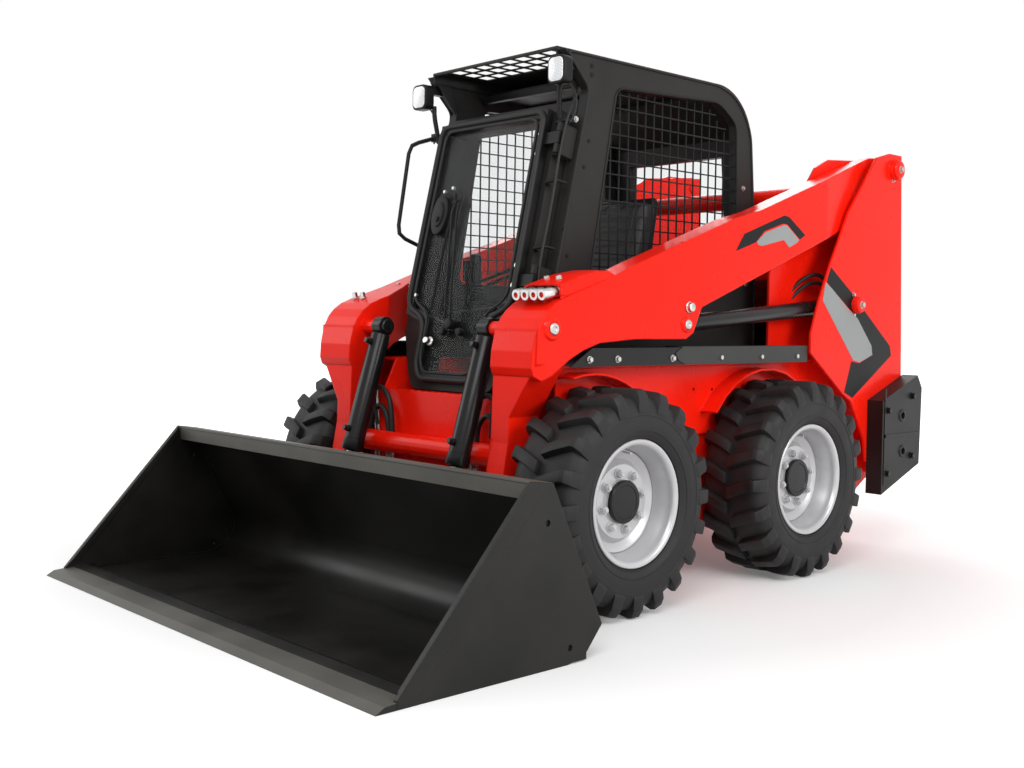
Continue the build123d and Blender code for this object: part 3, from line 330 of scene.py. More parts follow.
def make_piece(name, mesh, body, finish, smooth=None):
    """Turns a bmesh into a piece that rides on a body."""
    bmesh.ops.remove_doubles(mesh, verts=mesh.verts, dist=SAME_POINT)
    bmesh.ops.recalc_face_normals(mesh, faces=mesh.faces)
    data = bpy.data.meshes.new(name)
    mesh.to_mesh(data)
    mesh.free()
    piece = bpy.data.objects.new(name, data)
    bpy.context.scene.collection.objects.link(piece)
    data.materials.append(finishes[finish])
    if smooth is not None:
        for face in data.polygons:
            face.use_smooth = True
        data.set_sharp_from_angle(angle=math.radians(smooth))
    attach(piece, body)
    return piece


def round_edges(mesh, edges, offset, segments=2):
    """Rounds edges over, and returns the new corners."""
    return bmesh.ops.bevel(mesh, geom=edges, offset=offset, segments=segments, profile=0.5,
                           affect="EDGES", material=-1)["verts"]


def add_prism(mesh, outline, shift):
    """A closed outline drawn along a shift; returns the corners at its far end."""
    face = mesh.faces.new([mesh.verts.new(point) for point in outline])
    lifted = bmesh.ops.extrude_face_region(mesh, geom=[face])["geom"]
    moved = [item for item in lifted if isinstance(item, bmesh.types.BMVert)]
    bmesh.ops.translate(mesh, vec=shift, verts=moved)
    return moved


def add_box(mesh, low, high, round_by=0.0, segments=2):
    """A box between two corners, its edges rounded."""
    low, high = Vector(low), Vector(high)
    made = bmesh.ops.create_cube(mesh, size=1.0)["verts"]
    bmesh.ops.scale(mesh, vec=high - low, verts=made)
    bmesh.ops.translate(mesh, vec=(low + high) / 2, verts=made)
    if round_by:
        edges = list({edge for vert in made for edge in vert.link_edges})
        made = round_edges(mesh, edges, round_by, segments)
    return made


def add_tile(mesh, low, high, corner, rim):
    """A tile that faces along Y: rounded at its four corners, then round its two rims."""
    made = add_box(mesh, low, high)
    posts = [edge for edge in {edge for vert in made for edge in vert.link_edges}
             if abs(edge.verts[0].co.y - edge.verts[1].co.y) > SAME_POINT]
    round_edges(mesh, posts, corner, 6)
    middle_y = (low[1] + high[1]) / 2
    inside = [vert for vert in mesh.verts
              if all(low[axis] - SAME_POINT < vert.co[axis] < high[axis] + SAME_POINT for axis in range(3))]
    rims = [edge for edge in {edge for vert in inside for edge in vert.link_edges}
            if (edge.verts[0].co.y - middle_y) * (edge.verts[1].co.y - middle_y) > 0]
    round_edges(mesh, rims, rim, 3)


def toward(direction):
    """Rotation that turns +Z on to a direction."""
    return Vector(direction).to_track_quat("Z", "Y").to_matrix().to_4x4()


def add_rod(mesh, start, end, radius, sides=16, end_radius=None, bevel=0.0):
    """A round bar from start to end."""
    start, end = Vector(start), Vector(end)
    place = Matrix.Translation((start + end) / 2) @ toward(end - start)
    made = bmesh.ops.create_cone(mesh, cap_ends=True, segments=sides, radius1=radius,
                                 radius2=radius if end_radius is None else end_radius,
                                 depth=(end - start).length, matrix=place)["verts"]
    if bevel:
        caps = [edge for vert in made for edge in vert.link_edges
                if sum(len(face.verts) > 4 for face in edge.link_faces) == 1]
        round_edges(mesh, list(set(caps)), bevel)


def stamp(mesh, shape, places):
    """Adds a copy of a finished shape to a mesh at each place, and frees the shape."""
    data = bpy.data.meshes.new("stamp")
    shape.to_mesh(data)
    shape.free()
    for place in places:
        copy = data.copy()
        copy.transform(place)
        mesh.from_mesh(copy)
        bpy.data.meshes.remove(copy)
    bpy.data.meshes.remove(data)


def add_turned(mesh, profile, centre, axis, steps=48):
    """A turned shape: profile is (distance along the axis, radius) pairs."""
    shape = bmesh.new()
    verts = [shape.verts.new((radius, 0, along)) for along, radius in profile]
    edges = [shape.edges.new(pair) for pair in zip(verts, verts[1:])]
    bmesh.ops.spin(shape, geom=verts + edges, cent=(0, 0, 0), axis=(0, 0, 1), angle=math.tau, steps=steps,
                   use_merge=True)
    bmesh.ops.remove_doubles(shape, verts=shape.verts, dist=SAME_POINT)
    stamp(mesh, shape, [Matrix.Translation(Vector(centre)) @ toward(axis)])


def add_hex(mesh, centre, axis, size, height, washer=True):
    """A hexagon bolt head on a washer, standing on a face."""
    centre, axis = Vector(centre), Vector(axis).normalized()
    foot = centre
    if washer:
        add_rod(mesh, centre, centre + axis * height * 0.22, size * 1.25, sides=20)
        foot = centre + axis * height * 0.2
    add_rod(mesh, foot, foot + axis * height, size, sides=6, end_radius=size * 0.94)
    add_rod(mesh, foot + axis * height * 0.98, foot + axis * height * 1.12, size * 0.72, sides=16)


def add_plate(mesh, outline, thickness, across, sign=1):
    """A flat plate: outline is (y, z) points in metres, at x = across, thickened along X."""
    add_prism(mesh, [(across, y, z) for y, z in outline], (sign * thickness, 0, 0))


def add_hose(mesh_name, points, radius, body, finish, steps=10):
    """A hose fixed at both ends, along a smooth line through its points."""
    curve = bpy.data.curves.new(mesh_name, "CURVE")
    curve.dimensions = "3D"
    curve.bevel_depth = radius
    curve.bevel_resolution = 3
    curve.resolution_u = steps
    curve.use_fill_caps = True
    spline = curve.splines.new("NURBS")
    spline.points.add(len(points) - 1)
    for point, spot in zip(spline.points, points):
        point.co = (*spot, 1)
    spline.order_u = 3
    spline.use_endpoint_u = True
    holder = bpy.data.objects.new(mesh_name + "_line", curve)
    data = bpy.data.meshes.new_from_object(holder)
    data.name = mesh_name
    bpy.data.objects.remove(holder)
    piece = bpy.data.objects.new(mesh_name, data)
    bpy.context.scene.collection.objects.link(piece)
    data.materials.clear()
    data.materials.append(finishes[finish])
    for face in data.polygons:
        face.use_smooth = True
    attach(piece, body)
    return piece


# ------------------------------------------------------------------ paint the frame
NODE_FINISH = {
    "red_enamel": ("chassis", "upright_left", "upright_right", "hood", "arm_left", "arm_right",
                   "arm_cross_tubes", "engine_door"),
    "cab_satin": ("cab_side_left", "cab_side_right", "roof", "cab_rear", "cab_front", "grab_handle"),
    "black_satin": ("door_frame", "window_mesh_left", "window_mesh_right", "work_lamps", "coupler"),
    "bucket_black": ("bucket",),
    "cast_black": ("counterweights",),
    "dark_enamel": ("step_rails", "axle_housings", "seat_base", "lift_barrel_left",
                    "lift_barrel_right", "tilt_barrel_left", "tilt_barrel_right"),
    "rim_silver": ("wheel_front_left", "wheel_front_right", "wheel_rear_left", "wheel_rear_right"),
    "tyre_rubber": ("tyre_front_left", "tyre_front_right", "tyre_rear_left", "tyre_rear_right"),
    "hard_chrome": ("lift_rod_left", "lift_rod_right", "tilt_rod_left", "tilt_rod_right"),
    "grained_plastic": ("seat", "controls"),
    "clear_glass": ("door_glass", "rear_glass"),
    "engine_grey": ("engine",),
}


class LOADER_OT_paint(bpy.types.Operator):
    """Give every solid of the frame its finish"""

    bl_idname = "loader.paint"
    bl_label = "Paint the frame"

    def execute(self, context):
        make_finishes()
        for finish, names in NODE_FINISH.items():
            for name in names:
                node = frame["nodes"].get(name)
                if node is None:
                    continue
                node.data.materials.clear()
                node.data.materials.append(finishes[finish])
        bare = [name for name in frame["nodes"] if all(name not in names for names in NODE_FINISH.values())]
        if bare:
            raise RuntimeError(f"no finish for {bare}")
        return {"FINISHED"}


# ------------------------------------------------------------------ wheels
WHEELS = ("front_left", "front_right", "rear_left", "rear_right")
LUGS = 20


def middle(low, high):
    return (Vector(low) + Vector(high)) / 2


def tread_lug(sign, top, half):
    """One tread lug over the axle at the origin: a bar that sweeps back and steps down the shoulder."""
    mesh = bmesh.new()
    outline = [(0.004, top - 0.050), (0.004, top - 0.003), (0.050, top), (half - 0.036, top),
               (half - 0.018, top - 0.004),
               (half - 0.004, top - 0.030), (half - 0.001, top - 0.074), (half - 0.007, top - 0.094),
               (half - 0.024, top - 0.092), (half - 0.040, top - 0.050)]
    add_prism(mesh, [(sign * across, -0.021, high) for across, high in outline], (0, 0.042, 0))
    edges = [edge for edge in mesh.edges if max(vert.co.z for vert in edge.verts) > top - 0.09]
    round_edges(mesh, edges, 0.003)
    for vert in mesh.verts:
        foot = min(1.0, max(0.0, (top - vert.co.z) / 0.05))
        away = min(abs(vert.co.x), half - 0.045)
        vert.co.y = vert.co.y * (1.0 + 0.28 * foot) - 0.040 + 0.42 * away
    return mesh


class LOADER_OT_tyres(bpy.types.Operator):
    """Mould the four tyres with their sidewalls and two rows of lugs"""

    bl_idname = "loader.tyres"
    bl_label = "Mould the tyres"

    def execute(self, context):
        for place in WHEELS:
            low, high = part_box(f"tyre_{place}")
            centre = middle(low, high)
            radius, width = sizes().tyre_radius, sizes().tyre_width
            mesh = bmesh.new()
            half = width / 2
            side = [(0.0, 0.374), (0.060, 0.3745), (0.100, 0.372), (0.120, 0.366), (0.134, 0.352),
                    (0.143, 0.330),
                    (0.1465, 0.312), (0.1468, 0.309), (0.1450, 0.307), (0.1452, 0.288), (0.1445, 0.272),
                    (0.1425, 0.262),
                    (0.1440, 0.2600), (0.1440, 0.2565), (0.1410, 0.2545), (0.1375, 0.246), (0.1335, 0.2385),
                    (0.1310, 0.2345), (0.1325, 0.2320), (0.1310, 0.2290), (0.1260, 0.2268), (0.1205, 0.2262),
                    (0.1195, 0.2110)]
            profile = [(-along, rim) for along, rim in reversed(side)] + side[1:]
            profile = profile + [(-0.1195, 0.2110)]
            add_turned(mesh, profile, centre, (1, 0, 0), steps=96)
            for sign, shift in ((1, 0.0), (-1, 0.5)):
                turns = [Matrix.Rotation(math.tau * (step + shift) / LUGS, 4, "X") for step in range(LUGS)]
                stamp(mesh, tread_lug(sign, radius - 0.0015, half),
                      [Matrix.Translation(centre) @ turn for turn in turns])
            piece = make_piece(f"dressed_tyre_{place}", mesh, f"wheel_body_{place}", "tyre_rubber",
                               smooth=32)
            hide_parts(f"tyre_{place}")
        return {"FINISHED"}


class LOADER_OT_rims(bpy.types.Operator):
    """Press the four dished rims and fit their nuts, caps and valves"""

    bl_idname = "loader.rims"
    bl_label = "Press the rims"

    def execute(self, context):
        nut = sizes().wheel_nut
        for place in WHEELS:
            low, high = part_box(f"tyre_{place}")
            centre = middle(low, high)
            out = 1 if centre.x > 0 else -1
            body = f"wheel_body_{place}"
            axis = (out, 0, 0)
            mesh = bmesh.new()
            # rolled flange, bead seat and drop well, then the dished disc
            barrel = [(-0.130, 0.2245), (-0.1215, 0.2245), (-0.1195, 0.2100), (-0.060, 0.2070),
                      (-0.040, 0.192),
                      (0.060, 0.192), (0.085, 0.2075), (0.1180, 0.2098), (0.1212, 0.2140), (0.1215, 0.2200),
                      (0.1235, 0.2240), (0.1275, 0.2245), (0.1300, 0.2215), (0.1300, 0.2165),
                      (0.1275, 0.2095),
                      (0.1225, 0.2035), (0.1120, 0.2010), (0.0900, 0.1990), (0.0700, 0.1840),
                      (-0.035, 0.1840),
                      (-0.050, 0.1990), (-0.1200, 0.2010), (-0.130, 0.2100), (-0.130, 0.2245)]
            add_turned(mesh, barrel, centre, axis, steps=80)
            disc = [(0.036, 0.1850), (0.044, 0.1800), (0.040, 0.1680), (0.030, 0.1560), (0.028, 0.1500),
                    (0.034, 0.1400),
                    (0.048, 0.1340), (0.0530, 0.1300), (0.0535, 0.1230), (0.0535, 0.0800), (0.0600, 0.0790),
                    (0.0600, 0.0700), (0.0410, 0.0700), (0.0410, 0.1230), (0.0200, 0.1400), (0.0160, 0.1560),
                    (0.0260, 0.1760), (0.0260, 0.1850), (0.036, 0.1850)]
            add_turned(mesh, disc, centre, axis, steps=80)
            piece = make_piece(f"dressed_rim_{place}", mesh, body, "rim_silver", smooth=38)
            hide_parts(f"wheel_{place}")
            mesh = bmesh.new()
            for step in range(WHEEL_NUTS):
                angle = math.tau * step / WHEEL_NUTS + 0.2
                foot = centre + Vector((out * 0.0535, NUT_CIRCLE * math.cos(angle),
                                        NUT_CIRCLE * math.sin(angle)))
                add_hex(mesh, foot, axis, nut * 0.78, 0.016)
                add_rod(mesh, foot, foot + Vector(axis) * 0.026, nut * 0.42, sides=14, bevel=0.0015)
            valve = centre + Vector((out * 0.050, 0.0, 0.176))
            add_rod(mesh, valve, valve + Vector((out * 0.045, 0, -0.004)), 0.004, sides=12)
            make_piece(f"wheel_nuts_{place}", mesh, body, "rim_silver", smooth=40)
            mesh = bmesh.new()
            cap = [(0.040, 0.0700), (0.0600, 0.0770), (0.0720, 0.0765), (0.0760, 0.0730), (0.0765, 0.0600),
                   (0.0740, 0.0570),
                   (0.0745, 0.0200), (0.0750, 0.0)]
            add_turned(mesh, cap, centre, axis, steps=56)
            add_rod(mesh, centre + Vector((out * 0.042, 0, 0)), centre - Vector((out * 0.120, 0, 0)), 0.045,
                    sides=32)
            make_piece(f"hub_cap_{place}", mesh, body, "dark_enamel", smooth=38)
        return {"FINISHED"}


# ------------------------------------------------------------------ stripes
ARM_STRIPE = ((373, 1320), (429, 1393), (708, 1486), (745, 1483), (870, 1413), (829, 1392), (731, 1451),
              (699, 1451),
              (569, 1412), (510, 1363))
ARM_PANEL = ((516, 1366), (575, 1407), (710, 1447), (731, 1445), (822, 1390), (812, 1380), (750, 1354),
             (708, 1384),
             (551, 1350), (526, 1354))
POST_STRIPE = ((1051, 1283), (1223, 1177), (1333, 1100), (1573, 934), (1586, 889), (1252, 700), (1182, 727),
               (1237, 865),
               (1306, 857), (1416, 892), (1406, 939), (1280, 1060), (1055, 1193), (1021, 1216), (1025, 1231))
POST_PANEL = ((1010, 1215), (1055, 1193), (1197, 1104), (1280, 1060), (1406, 936), (1416, 893), (1306, 860),
              (1251, 871),
              (990, 1135))


def stations(points):
    """Drawn (station, height) points in mm as (y, z) in metres."""
    return [(station / 1000, height / 1000) for station, height in points]


class LOADER_OT_stripes(bpy.types.Operator):
    """Lay the plain black and grey stripes on the arms and the uprights"""

    bl_idname = "loader.stripes"
    bl_label = "Lay the stripes"

    def execute(self, context):
        lift = sizes().stripe_lift
        for side, sign in SIDES:
            for name, outline, across, body, finish, extra in (
                    ("arm_stripe", ARM_STRIPE, ARM_SIDE, "arms", "stripe_black", 0.0),
                    ("arm_panel", ARM_PANEL, ARM_SIDE, "arms", "stripe_grey", 0.0006),
                    ("post_stripe", POST_STRIPE, POST_SIDE, "frame", "stripe_black", 0.0),
                    ("post_panel", POST_PANEL, POST_SIDE, "frame", "stripe_grey", 0.0006)):
                mesh = bmesh.new()
                add_plate(mesh, stations(outline), lift + extra, sign * across, sign)
                make_piece(f"{name}_{side}", mesh, body, finish)
        return {"FINISHED"}


# ------------------------------------------------------------------ arms: pins, bolts, guard, couplers
class LOADER_OT_arm_fittings(bpy.types.Operator):
    """Fit the pins, bolts and the auxiliary couplers under their cover to the lift arms"""

    bl_idname = "loader.arm_fittings"
    bl_label = "Fit the arms"

    def execute(self, context):
        bolt = sizes().bolt
        for side, sign in SIDES:
            mesh = bmesh.new()
            # tilt cylinder's pin on the knee, the lift rod's pin, and a grease cap above it
            self.pin(mesh, sign, 0.651, *KNEE_PIN, 0.021)
            self.pin(mesh, sign, 0.6485, *ROD_PIN, 0.019)
            add_turned(mesh, [(0.0, 0.022), (0.006, 0.022), (0.008, 0.019), (0.020, 0.017), (0.0225, 0.013),
                              (0.0225, 0.0)],
                       (sign * ARM_SIDE, 0.078, 1.089), (sign, 0, 0), steps=28)
            make_piece(f"arm_pins_{side}", mesh, "arms", "zinc_steel", smooth=35)
            mesh = bmesh.new()
            add_turned(mesh, [(-0.003, 0.0295), (0.004, 0.0295), (0.007, 0.026), (0.007, 0.014),
                              (0.005, 0.012), (0.005, 0.0)],
                       (sign * 0.284, -0.672, 0.998), (-sign, 0, 0), steps=36)
            add_hex(mesh, (sign * 0.279, -0.672, 0.998), (-sign, 0, 0), 0.0085, 0.006)
            make_piece(f"knee_pin_cap_{side}", mesh, "arms", "dark_enamel", smooth=35)
            mesh = bmesh.new()
            add_turned(mesh, [(0.0, 0.044), (0.012, 0.044), (0.016, 0.040), (0.018, 0.030), (0.018, 0.0)],
                       (sign * BOSS_SIDE, *ARM_PIVOT), (sign, 0, 0), steps=40)
            make_piece(f"pivot_cap_{side}", mesh, "frame", "red_enamel", smooth=35)
            mesh = bmesh.new()
            add_hex(mesh, (sign * 0.689, *ARM_PIVOT), (sign, 0, 0), bolt * 0.9, 0.010)
            make_piece(f"pivot_bolt_{side}", mesh, "frame", "zinc_steel", smooth=35)
            # welded collars round the knee pin and the lift rod's pin
            mesh = bmesh.new()
            add_turned(mesh, [(-0.001, 0.043), (0.0105, 0.036), (0.0112, 0.034), (0.0112, 0.024),
                              (-0.001, 0.024)],
                       (sign * ARM_SIDE, *KNEE_PIN), (sign, 0, 0), steps=48)
            add_turned(mesh, [(-0.001, 0.032), (0.006, 0.030), (0.0075, 0.028), (0.0075, 0.020),
                              (-0.001, 0.020)],
                       (sign * ARM_SIDE, *ROD_PIN), (sign, 0, 0), steps=40)
            make_piece(f"pin_collars_{side}", mesh, "arms", "red_enamel", smooth=40)
            # pipes along the inside of the arm, with their clamps
            for line, drop in ((0, 0.0), (1, -0.030)):
                points = [(sign * 0.530, 1.42, 1.635 + drop), (sign * 0.530, 1.10, 1.560 + drop),
                          (sign * 0.530, 0.40, 1.325 + drop),
                          (sign * 0.530, -0.18, 1.125 + drop), (sign * 0.527, -0.36, 1.066 + drop)]
                add_hose(f"arm_pipe_{side}_{line}", points, 0.008, "arms", "dark_enamel")
            mesh = bmesh.new()
            for y, z in ((1.00, 1.510), (0.40, 1.308), (-0.10, 1.136)):
                add_box(mesh, (sign * 0.541, y - 0.020, z - 0.034), (sign * 0.517, y + 0.020, z + 0.036),
                        0.003)
            make_piece(f"pipe_clamps_{side}", mesh, "arms", "dark_enamel")
        self.right_bolts()
        self.couplers()
        return {"FINISHED"}

    def pin(self, mesh, sign, across, y, z, radius):
        add_turned(mesh, [(-0.004, radius), (0.003, radius), (0.006, radius - 0.003), (0.006, radius * 0.45),
                          (0.003, radius * 0.35), (0.003, 0.0)], (sign * across, y, z), (sign, 0, 0),
                   steps=36)

    def right_bolts(self):
        mesh = bmesh.new()
        for across in (-0.606, -0.550):
            add_hex(mesh, (across, -0.600, 1.116), (0, -0.25, 1), 0.0125, 0.018)
        for across in (-0.570, -0.480):
            add_hex(mesh, (across, -0.395, 1.170), (0, -0.33, 1), 0.012, 0.012)
        make_piece("arm_top_bolts_right", mesh, "arms", "zinc_steel", smooth=35)

    def couplers(self):
        """A cover pressed from sheet over a row of four quick couplers on the left knee."""
        mesh = bmesh.new()
        ridge = ((-0.627, 1.156, 1.122, 0.452), (-0.592, 1.171, 1.120, 0.452), (-0.522, 1.195, 1.140, 0.458),
                 (-0.440, 1.213, 1.165, 0.484), (-0.370, 1.215, 1.190, 0.513), (-0.326, 1.197, 1.192, 0.538))
        rows = []
        for y, top, foot, inner in ridge:
            span = [(0.635, foot - 0.004), (0.6345, top - 0.022), (0.626, top - 0.005), (0.606, top),
                    (inner + 0.030, top + 0.001),
                    (inner + 0.008, top - 0.005), (inner, top - 0.022), (inner, foot - 0.002)]
            row = [mesh.verts.new((across, y, high)) for across, high in span]
            rows.append(row)
            for pair in zip(row, row[1:]):
                mesh.edges.new(pair)
        for first, second in zip(rows, rows[1:]):
            edges = [edge for row in (first, second) for a, b in zip(row, row[1:]) for edge in a.link_edges
                     if edge.other_vert(a) is b]
            bmesh.ops.bridge_loops(mesh, edges=edges)
        bmesh.ops.recalc_face_normals(mesh, faces=mesh.faces)
        bmesh.ops.solidify(mesh, geom=list(mesh.faces), thickness=0.004)
        make_piece("coupler_cover", mesh, "arms", "red_enamel", smooth=30)
        mesh = bmesh.new()
        for across, reach, size in ((0.478, -0.692, 0.017), (0.522, -0.692, 0.017), (0.566, -0.692, 0.017),
                                    (0.606, -0.692, 0.017)):
            self.coupling(mesh, (across, -0.520, 1.150), (across, reach, 1.118), size)
        make_piece("quick_couplers", mesh, "arms", "zinc_steel", smooth=35)
        mesh = bmesh.new()
        for across, y in ((0.575, -0.575), (0.500, -0.560)):
            add_hex(mesh, (across, y, 1.178), (0, -0.32, 1), 0.011, 0.010)
        make_piece("cover_bolts", mesh, "arms", "zinc_steel", smooth=35)

    def coupling(self, mesh, start, end, size):
        length = (Vector(end) - Vector(start)).length
        add_turned(mesh, [(0.0, 0.0), (0.0, size * 0.8), (length * 0.35, size * 0.8),
                          (length * 0.37, size * 1.15),
                          (length * 0.55, size * 1.15), (length * 0.57, size * 0.9),
                          (length * 0.72, size * 0.9),
                          (length * 0.74, size * 1.25), (length * 0.97, size * 1.25), (length, size * 1.1),
                          (length, size * 0.6), (length * 0.94, size * 0.55), (length * 0.94, 0.0)],
                   start, Vector(end) - Vector(start), steps=28)


# ------------------------------------------------------------------ cylinders
class LOADER_OT_cylinders(bpy.types.Operator):
    """Turn the glands, caps and ports of the lift and tilt cylinders"""

    bl_idname = "loader.cylinders"
    bl_label = "Turn the cylinders"

    def execute(self, context):
        for name in ("lift", "tilt"):
            for side, sign in SIDES:
                self.dress(name, side, sign)
        return {"FINISHED"}

    def dress(self, name, side, sign):
        joint = {item["name"]: item for item in frame["joints"]}
        base = Vector(joint[f"{name}_swing_{side}"]["pos_m"])
        way = Vector(joint[f"{name}_rod_slide_{side}"]["axis"]).normalized()
        radius = BARREL_RADIUS[name]
        barrel = frame["nodes"][f"{name}_barrel_{side}"]
        top = max((vert.co - base).dot(way) for vert in barrel.data.vertices)
        body = f"{name}_barrel_body_{side}"
        mesh = bmesh.new()
        add_turned(mesh, [(0.030, radius * 0.72), (0.036, radius * 0.96), (0.040, radius),
                          (top - 0.052, radius), (top - 0.050, radius * 1.09),
                          (top - 0.010, radius * 1.09), (top - 0.006, radius * 1.04),
                          (top - 0.004, radius * 0.80),
                          (top, radius * 0.76), (top, 0.0232)], base, way, steps=48)
        tube = make_piece(f"{name}_tube_{side}", mesh, body, "dark_enamel", smooth=35)
        mesh = bmesh.new()
        eye = 0.039
        add_turned(mesh, [(-0.0262, 0.0195), (-0.0262, eye - 0.003), (-0.0232, eye), (0.0232, eye),
                          (0.0262, eye - 0.003),
                          (0.0262, 0.0195), (-0.0262, 0.0195)], base, (1, 0, 0), steps=40)
        across = Vector((1, 0, 0)).cross(way).normalized()
        if across.z < 0:
            across = -across
        for along in (0.075, top - 0.085):
            foot = base + way * along + across * (radius - 0.002)
            add_rod(mesh, foot, foot + across * 0.016, 0.013, sides=18, bevel=0.001)
            add_rod(mesh, foot + across * 0.014, foot + across * 0.028, 0.0105, sides=6)
        make_piece(f"{name}_eye_{side}", mesh, body, "dark_enamel", smooth=35)
        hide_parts(f"{name}_barrel_{side}")


# ------------------------------------------------------------------ cab
DOOR_LEAN = math.radians(13.1)
DOOR_FOOT = Vector((0, -0.625, 0.764))
DOOR_UP = Vector((0, math.sin(DOOR_LEAN), math.cos(DOOR_LEAN)))
DOOR_OUT = Vector((0, -math.cos(DOOR_LEAN), math.sin(DOOR_LEAN)))


def on_door(across, height, out=0.0):
    """A point on the leaning door: across, at a height above the ground, and out from the door's face."""
    along = (height - DOOR_FOOT.z) / DOOR_UP.z
    return DOOR_FOOT + Vector((across, 0, 0)) + DOOR_UP * along + DOOR_OUT * out


def swept(mesh, points, radius, sides=10, closed=False):
    """A tube of constant radius through points."""
    points = [Vector(point) for point in points]
    count = len(points)
    rings = []
    for index, point in enumerate(points):
        before = points[index - 1] if index or closed else None
        after = points[(index + 1) % count] if index + 1 < count or closed else None
        way = ((after - point).normalized() if after is not None else Vector()) \
            + ((point - before).normalized() if before is not None else Vector())
        turn = toward(way.normalized())
        ring = bmesh.ops.create_circle(mesh, segments=sides, radius=radius, cap_ends=False,
                                       matrix=Matrix.Translation(point) @ turn)["verts"]
        rings.append(list({edge for vert in ring for edge in vert.link_edges}))
    pairs = list(zip(rings, rings[1:]))
    if closed:
        pairs.append((rings[-1], rings[0]))
    for first, second in pairs:
        bmesh.ops.bridge_loops(mesh, edges=first + second)
    if not closed:
        for ring in (rings[0], rings[-1]):
            bmesh.ops.holes_fill(mesh, edges=ring, sides=sides)


def rounded(points, radius, steps=5):
    """Points of a line with its inner corners rounded."""
    points = [Vector(point) for point in points]
    line = [points[0]]
    for before, corner, after in zip(points, points[1:], points[2:]):
        into, out = (before - corner), (after - corner)
        cut = min(radius, into.length * 0.45, out.length * 0.45)
        start, end = corner + into.normalized() * cut, corner + out.normalized() * cut
        for step in range(steps + 1):
            share = step / steps
            line.append(start.lerp(corner, share).lerp(corner.lerp(end, share), share))
    line.append(points[-1])
    return line


